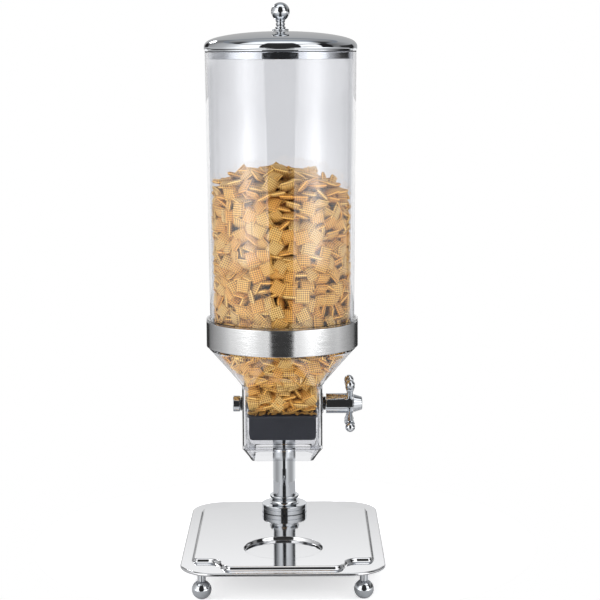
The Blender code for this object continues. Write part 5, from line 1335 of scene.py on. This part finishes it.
squares = []
z, row = HEAP_LOW, 0
while z < HEAP_HIGH:
    for layer in range(len(FACING_WALL)):
        hollow = layer >= FULL_LAYERS and HOLLOW_LOW < z < HOLLOW_HIGH - HOLLOW_STEP * layer
        if not hollow and ring_radius(SAMPLE_ANGLE, z, layer) >= LEAST_RADIUS:
            drop_layer(squares, z, row, layer)
    z, row = z + UP_STEP, row + 1
print("squares dropped:", len(squares))

# %% [markdown]
# ### Push the squares apart
# In each round every square is pushed away from those that it overlaps, further where they are thicker in
# that direction, and then moved off the walls. Numpy takes a few hundred squares at a time. A physics
# simulation would pack them better but take far longer, and all that has to look right is what shows
# through the clear wall. In the end each square is cleared of walls and paddles by its full outline, and
# one that could not be cleared would be left out.

# %% How squares push each other
ROUNDS, SOFTNESS, BATCH, NEIGHBOUR = 14, 0.7, 200, 0.016
PUSH_SHARE, LONGEST_PUSH, NUDGES, CLEARED = 0.22, 0.0022, 2, 0.00005
LAST_NUDGES, LAST_CLEARED, LAST_STEP, NO_LENGTH, SAME_PLACE = 30, 0.0002, 1.02, 0.000001, 0.00001


def pushes_between(places, axes, halves, in_pocket):
    """The sum of the pushes on each square from the squares near it."""
    order = numpy.argsort(places[:, 2])
    pushes = numpy.zeros_like(places)
    for start in range(0, len(order), BATCH):
        some = order[start:start + BATCH]
        low, high = places[some[0], 2] - NEIGHBOUR, places[some[-1], 2] + NEIGHBOUR
        near = order[(places[order, 2] > low) & (places[order, 2] < high)]
        gaps = places[near][None, :, :] - places[some][:, None, :]
        lengths = numpy.linalg.norm(gaps, axis=2) + NO_LENGTH
        ways = gaps / lengths[:, :, None]
        mine = numpy.abs(numpy.einsum("ijk,ilk->ijl", ways, axes[some])) @ halves
        theirs = numpy.abs(numpy.einsum("ijk,jlk->ijl", ways, axes[near])) @ halves
        overlap = (mine + theirs) * SOFTNESS - lengths
        apart = in_pocket[some][:, None] != in_pocket[near][None, :]
        overlap[(overlap < 0) | (lengths < SAME_PLACE) | apart] = 0.0
        pushes[some] -= (ways * overlap[:, :, None]).sum(axis=1) * PUSH_SHARE
    return pushes


print("rounds of pushing:", ROUNDS)

# %% Push them, and keep those that are clear
places = numpy.array([place for place, turn, pocket in squares])
axes = numpy.array([[list(turn.col[side]) for side in range(3)] for place, turn, pocket in squares])
halves = numpy.array([HALF_SQUARE, HALF_SQUARE, HALF_THICK])
in_pocket = numpy.array([pocket is not None for place, turn, pocket in squares])
for attempt in range(ROUNDS):
    pushes = pushes_between(places, axes, halves, in_pocket)
    size = numpy.linalg.norm(pushes, axis=1)[:, None] + NO_LENGTH
    places += pushes * numpy.minimum(1.0, LONGEST_PUSH / size)
    for index, (place, turn, pocket) in enumerate(squares):
        here = Vector(places[index])
        for nudge in range(NUDGES):
            worst, move = wall_push(here, turn, pocket, TIPS)
            if worst < CLEARED:
                break
            here += move
        places[index] = here
kept = {"stand": [], "rotor": []}
for index, (start, turn, pocket) in enumerate(squares):
    place = Vector(places[index])
    for nudge in range(LAST_NUDGES):
        worst, move = wall_push(place, turn, pocket, FULL_TIPS)
        if worst < LAST_CLEARED:
            kept["stand" if pocket is None else "rotor"].append((place, turn))
            break
        place = place + move * LAST_STEP
print("squares kept:", {body: len(rows) for body, rows in kept.items()}, "of", len(squares))

# %% Sizes, and crumbs on the front paddle
CRUMBS, CRUMB_SIZES, SQUARE_SIZES = 110, (0.1, 0.2), (0.92, 1.0)
CRUMB_NEAREST, CRUMB_FURTHEST, CRUMB_MOSTLY, CRUMB_HALF = 0.037, 0.0424, 0.0418, 0.0375
CRUMB_LIFT, CRUMB_HEAP = 0.0024, 0.003

for body, rows in kept.items():
    kept[body] = [(place, turn, dice.uniform(*SQUARE_SIZES)) for place, turn in rows]
along_paddle = Vector((0.0, math.sin(PADDLES[0]), math.cos(PADDLES[0])))
off_its_face = Vector((0.0, math.cos(PADDLES[0]), -math.sin(PADDLES[0])))
for crumb in range(CRUMBS):
    spot = Vector((0.0, CANISTER_Y, AXIS_Z))
    spot += along_paddle * dice.triangular(CRUMB_NEAREST, CRUMB_FURTHEST, CRUMB_MOSTLY)
    spot += off_its_face * (CRUMB_LIFT + dice.uniform(0.0, CRUMB_HEAP))
    spot.x = dice.uniform(-CRUMB_HALF, CRUMB_HALF)
    kept["rotor"].append((spot, random_turn(-off_its_face, False, True), dice.uniform(*CRUMB_SIZES)))
print("crumbs:", CRUMBS)

# %% [markdown]
# ### One square, set on every place
# A shape that comes two thousand times is best made once. Geometry Nodes bend a small grid into half a
# cushion, keep its flat pattern as UVMap for the weave, mirror it and sew the halves, then set a copy on
# each place with its own turn, size and tone. The grid's faces are split before the halves are sewn, so
# that no flap folds flat on another.

# %% Make half a cushion
CELLS, SEED, TONES, CROWN, SEAM = 6, 3, (0.15, 0.75), 0.28, 0.00002
INPUTS = (
    ("Places", "Geometry", None), ("Side", "Float", SQUARE), ("Thickness", "Float", THICKNESS),
    ("Cells", "Int", CELLS), ("Seed", "Int", SEED), ("Finish", "Material", None),
)

group = bpy.data.node_groups.new("woven_squares", "GeometryNodeTree")
for label, kind, value in INPUTS:
    socket = group.interface.new_socket(label, in_out="INPUT", socket_type="NodeSocket" + kind)
    if value is not None:
        socket.default_value = value
group.interface.new_socket("Squares", in_out="OUTPUT", socket_type="NodeSocketGeometry")
given = node(group, "NodeGroupInput").outputs


def half_cushion():
    """A grid whose points are moved so that its rim is flat and its middle rises."""
    grid = node(
        group, "GeometryNodeMeshGrid", Size_X=given["Side"], Size_Y=given["Side"],
        Vertices_X=given["Cells"], Vertices_Y=given["Cells"],
    )
    spot = node(group, "ShaderNodeSeparateXYZ", i0=node(group, "GeometryNodeInputPosition")).outputs
    half = maths(group, "MULTIPLY", given["Side"], 0.5)
    rise, level, along = [], [], []
    for name in ("X", "Y"):
        turn = maths(group, "MULTIPLY", maths(group, "DIVIDE", spot[name], given["Side"]), math.pi)
        out_by = maths(group, "SINE", turn)
        rise.append(maths(group, "MAXIMUM", maths(group, "COSINE", turn), 0.0))
        level.append(maths(group, "MULTIPLY", out_by, half))
        along.append(maths(group, "MULTIPLY_ADD", out_by, 0.5, 0.5))
    crown = maths(group, "POWER", maths(group, "MULTIPLY", *rise), CROWN)
    up = maths(group, "MULTIPLY", maths(group, "MULTIPLY", crown, given["Thickness"]), 0.5)
    keep_uv = node(
        group, "GeometryNodeStoreNamedAttribute", ("data_type", "FLOAT2"), ("domain", "CORNER"),
        Geometry=grid.outputs["Mesh"], Name="UVMap",
        Value=node(group, "ShaderNodeCombineXYZ", X=along[0], Y=along[1]),
    )
    place = node(group, "ShaderNodeCombineXYZ", X=level[0], Y=level[1], Z=up)
    top = node(group, "GeometryNodeSetPosition", Geometry=keep_uv, Position=place)
    split = ("quad_method", "LONGEST_DIAGONAL")
    return node(group, "GeometryNodeTriangulate", split, Mesh=top)


upper_half = half_cushion()
print("grid points along a square:", CELLS)

# %% Sew the cushion and set out its copies
mirrored = node(group, "GeometryNodeTransform", Geometry=upper_half, Scale=(1.0, 1.0, -1.0))
lower_half = node(group, "GeometryNodeFlipFaces", Mesh=mirrored)
pair = node(group, "GeometryNodeJoinGeometry", Geometry=upper_half)
group.links.new(lower_half.outputs[0], pair.inputs[0])
sewn = node(group, "GeometryNodeMergeByDistance", Geometry=pair, Distance=SEAM)
soft = node(group, "GeometryNodeSetShadeSmooth", Geometry=sewn)
turn = node(group, "GeometryNodeInputNamedAttribute", ("data_type", "FLOAT_VECTOR"), Name="turn")
as_turn = node(group, "FunctionNodeEulerToRotation", Euler=turn)
size = node(group, "GeometryNodeInputNamedAttribute", Name="size")
tone = node(
    group, "FunctionNodeRandomValue", ("data_type", "FLOAT"), i2=TONES[0], i3=TONES[1], Seed=given["Seed"],
)
copies = node(
    group, "GeometryNodeInstanceOnPoints", Points=given["Places"], Instance=soft,
    Rotation=as_turn, Scale=size,
)
keep_tone = node(
    group, "GeometryNodeStoreNamedAttribute", ("data_type", "FLOAT"), ("domain", "INSTANCE"),
    Geometry=copies, Name="tone", Value=tone.outputs[1],
)
real = node(group, "GeometryNodeRealizeInstances", Geometry=keep_tone)
dressed = node(group, "GeometryNodeSetMaterial", Geometry=real, Material=given["Finish"])
node(group, "NodeGroupOutput", i0=dressed)
lay_out(group)

# %% Set a square on every place
TUBE_FROM = 0.3


def set_squares(name, rows, body):
    """Makes one mesh of all squares in the rows, and lets it ride on a body."""
    places = bpy.data.meshes.new(name + "_places")
    places.from_pydata([place for place, turn, size in rows], [], [])
    turns = places.attributes.new("turn", "FLOAT_VECTOR", "POINT")
    turns.data.foreach_set("vector", [angle for place, turn, size in rows for angle in turn.to_euler()])
    sizes = places.attributes.new("size", "FLOAT", "POINT")
    sizes.data.foreach_set("value", [size for place, turn, size in rows])
    holder = put_in_scene(name + "_places", places)
    modifier = holder.modifiers.new("squares", "NODES")
    modifier.node_group = group
    sockets = {item.name: item.identifier for item in group.interface.items_tree if item.in_out == "INPUT"}
    for label, kind, value in INPUTS:
        if value is not None:
            modifier[sockets[label]] = value
    modifier[sockets["Finish"]] = FINISHES["toasted_wheat"]
    seen = holder.evaluated_get(bpy.context.evaluated_depsgraph_get())
    mesh = bpy.data.meshes.new_from_object(seen)
    mesh.name = name
    holder.modifiers.remove(modifier)
    bpy.data.objects.remove(holder)
    piece = put_in_scene(name, mesh)
    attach(piece, body)
    print(name + ":", len(rows), "squares,", len(mesh.polygons), "faces")
    return piece


set_squares("cereal_in_tube", [row for row in kept["stand"] if row[0].z > TUBE_FROM], "stand")
set_squares("cereal_in_funnel", [row for row in kept["stand"] if row[0].z <= TUBE_FROM], "stand")
set_squares("cereal_in_pockets", kept["rotor"], "rotor")
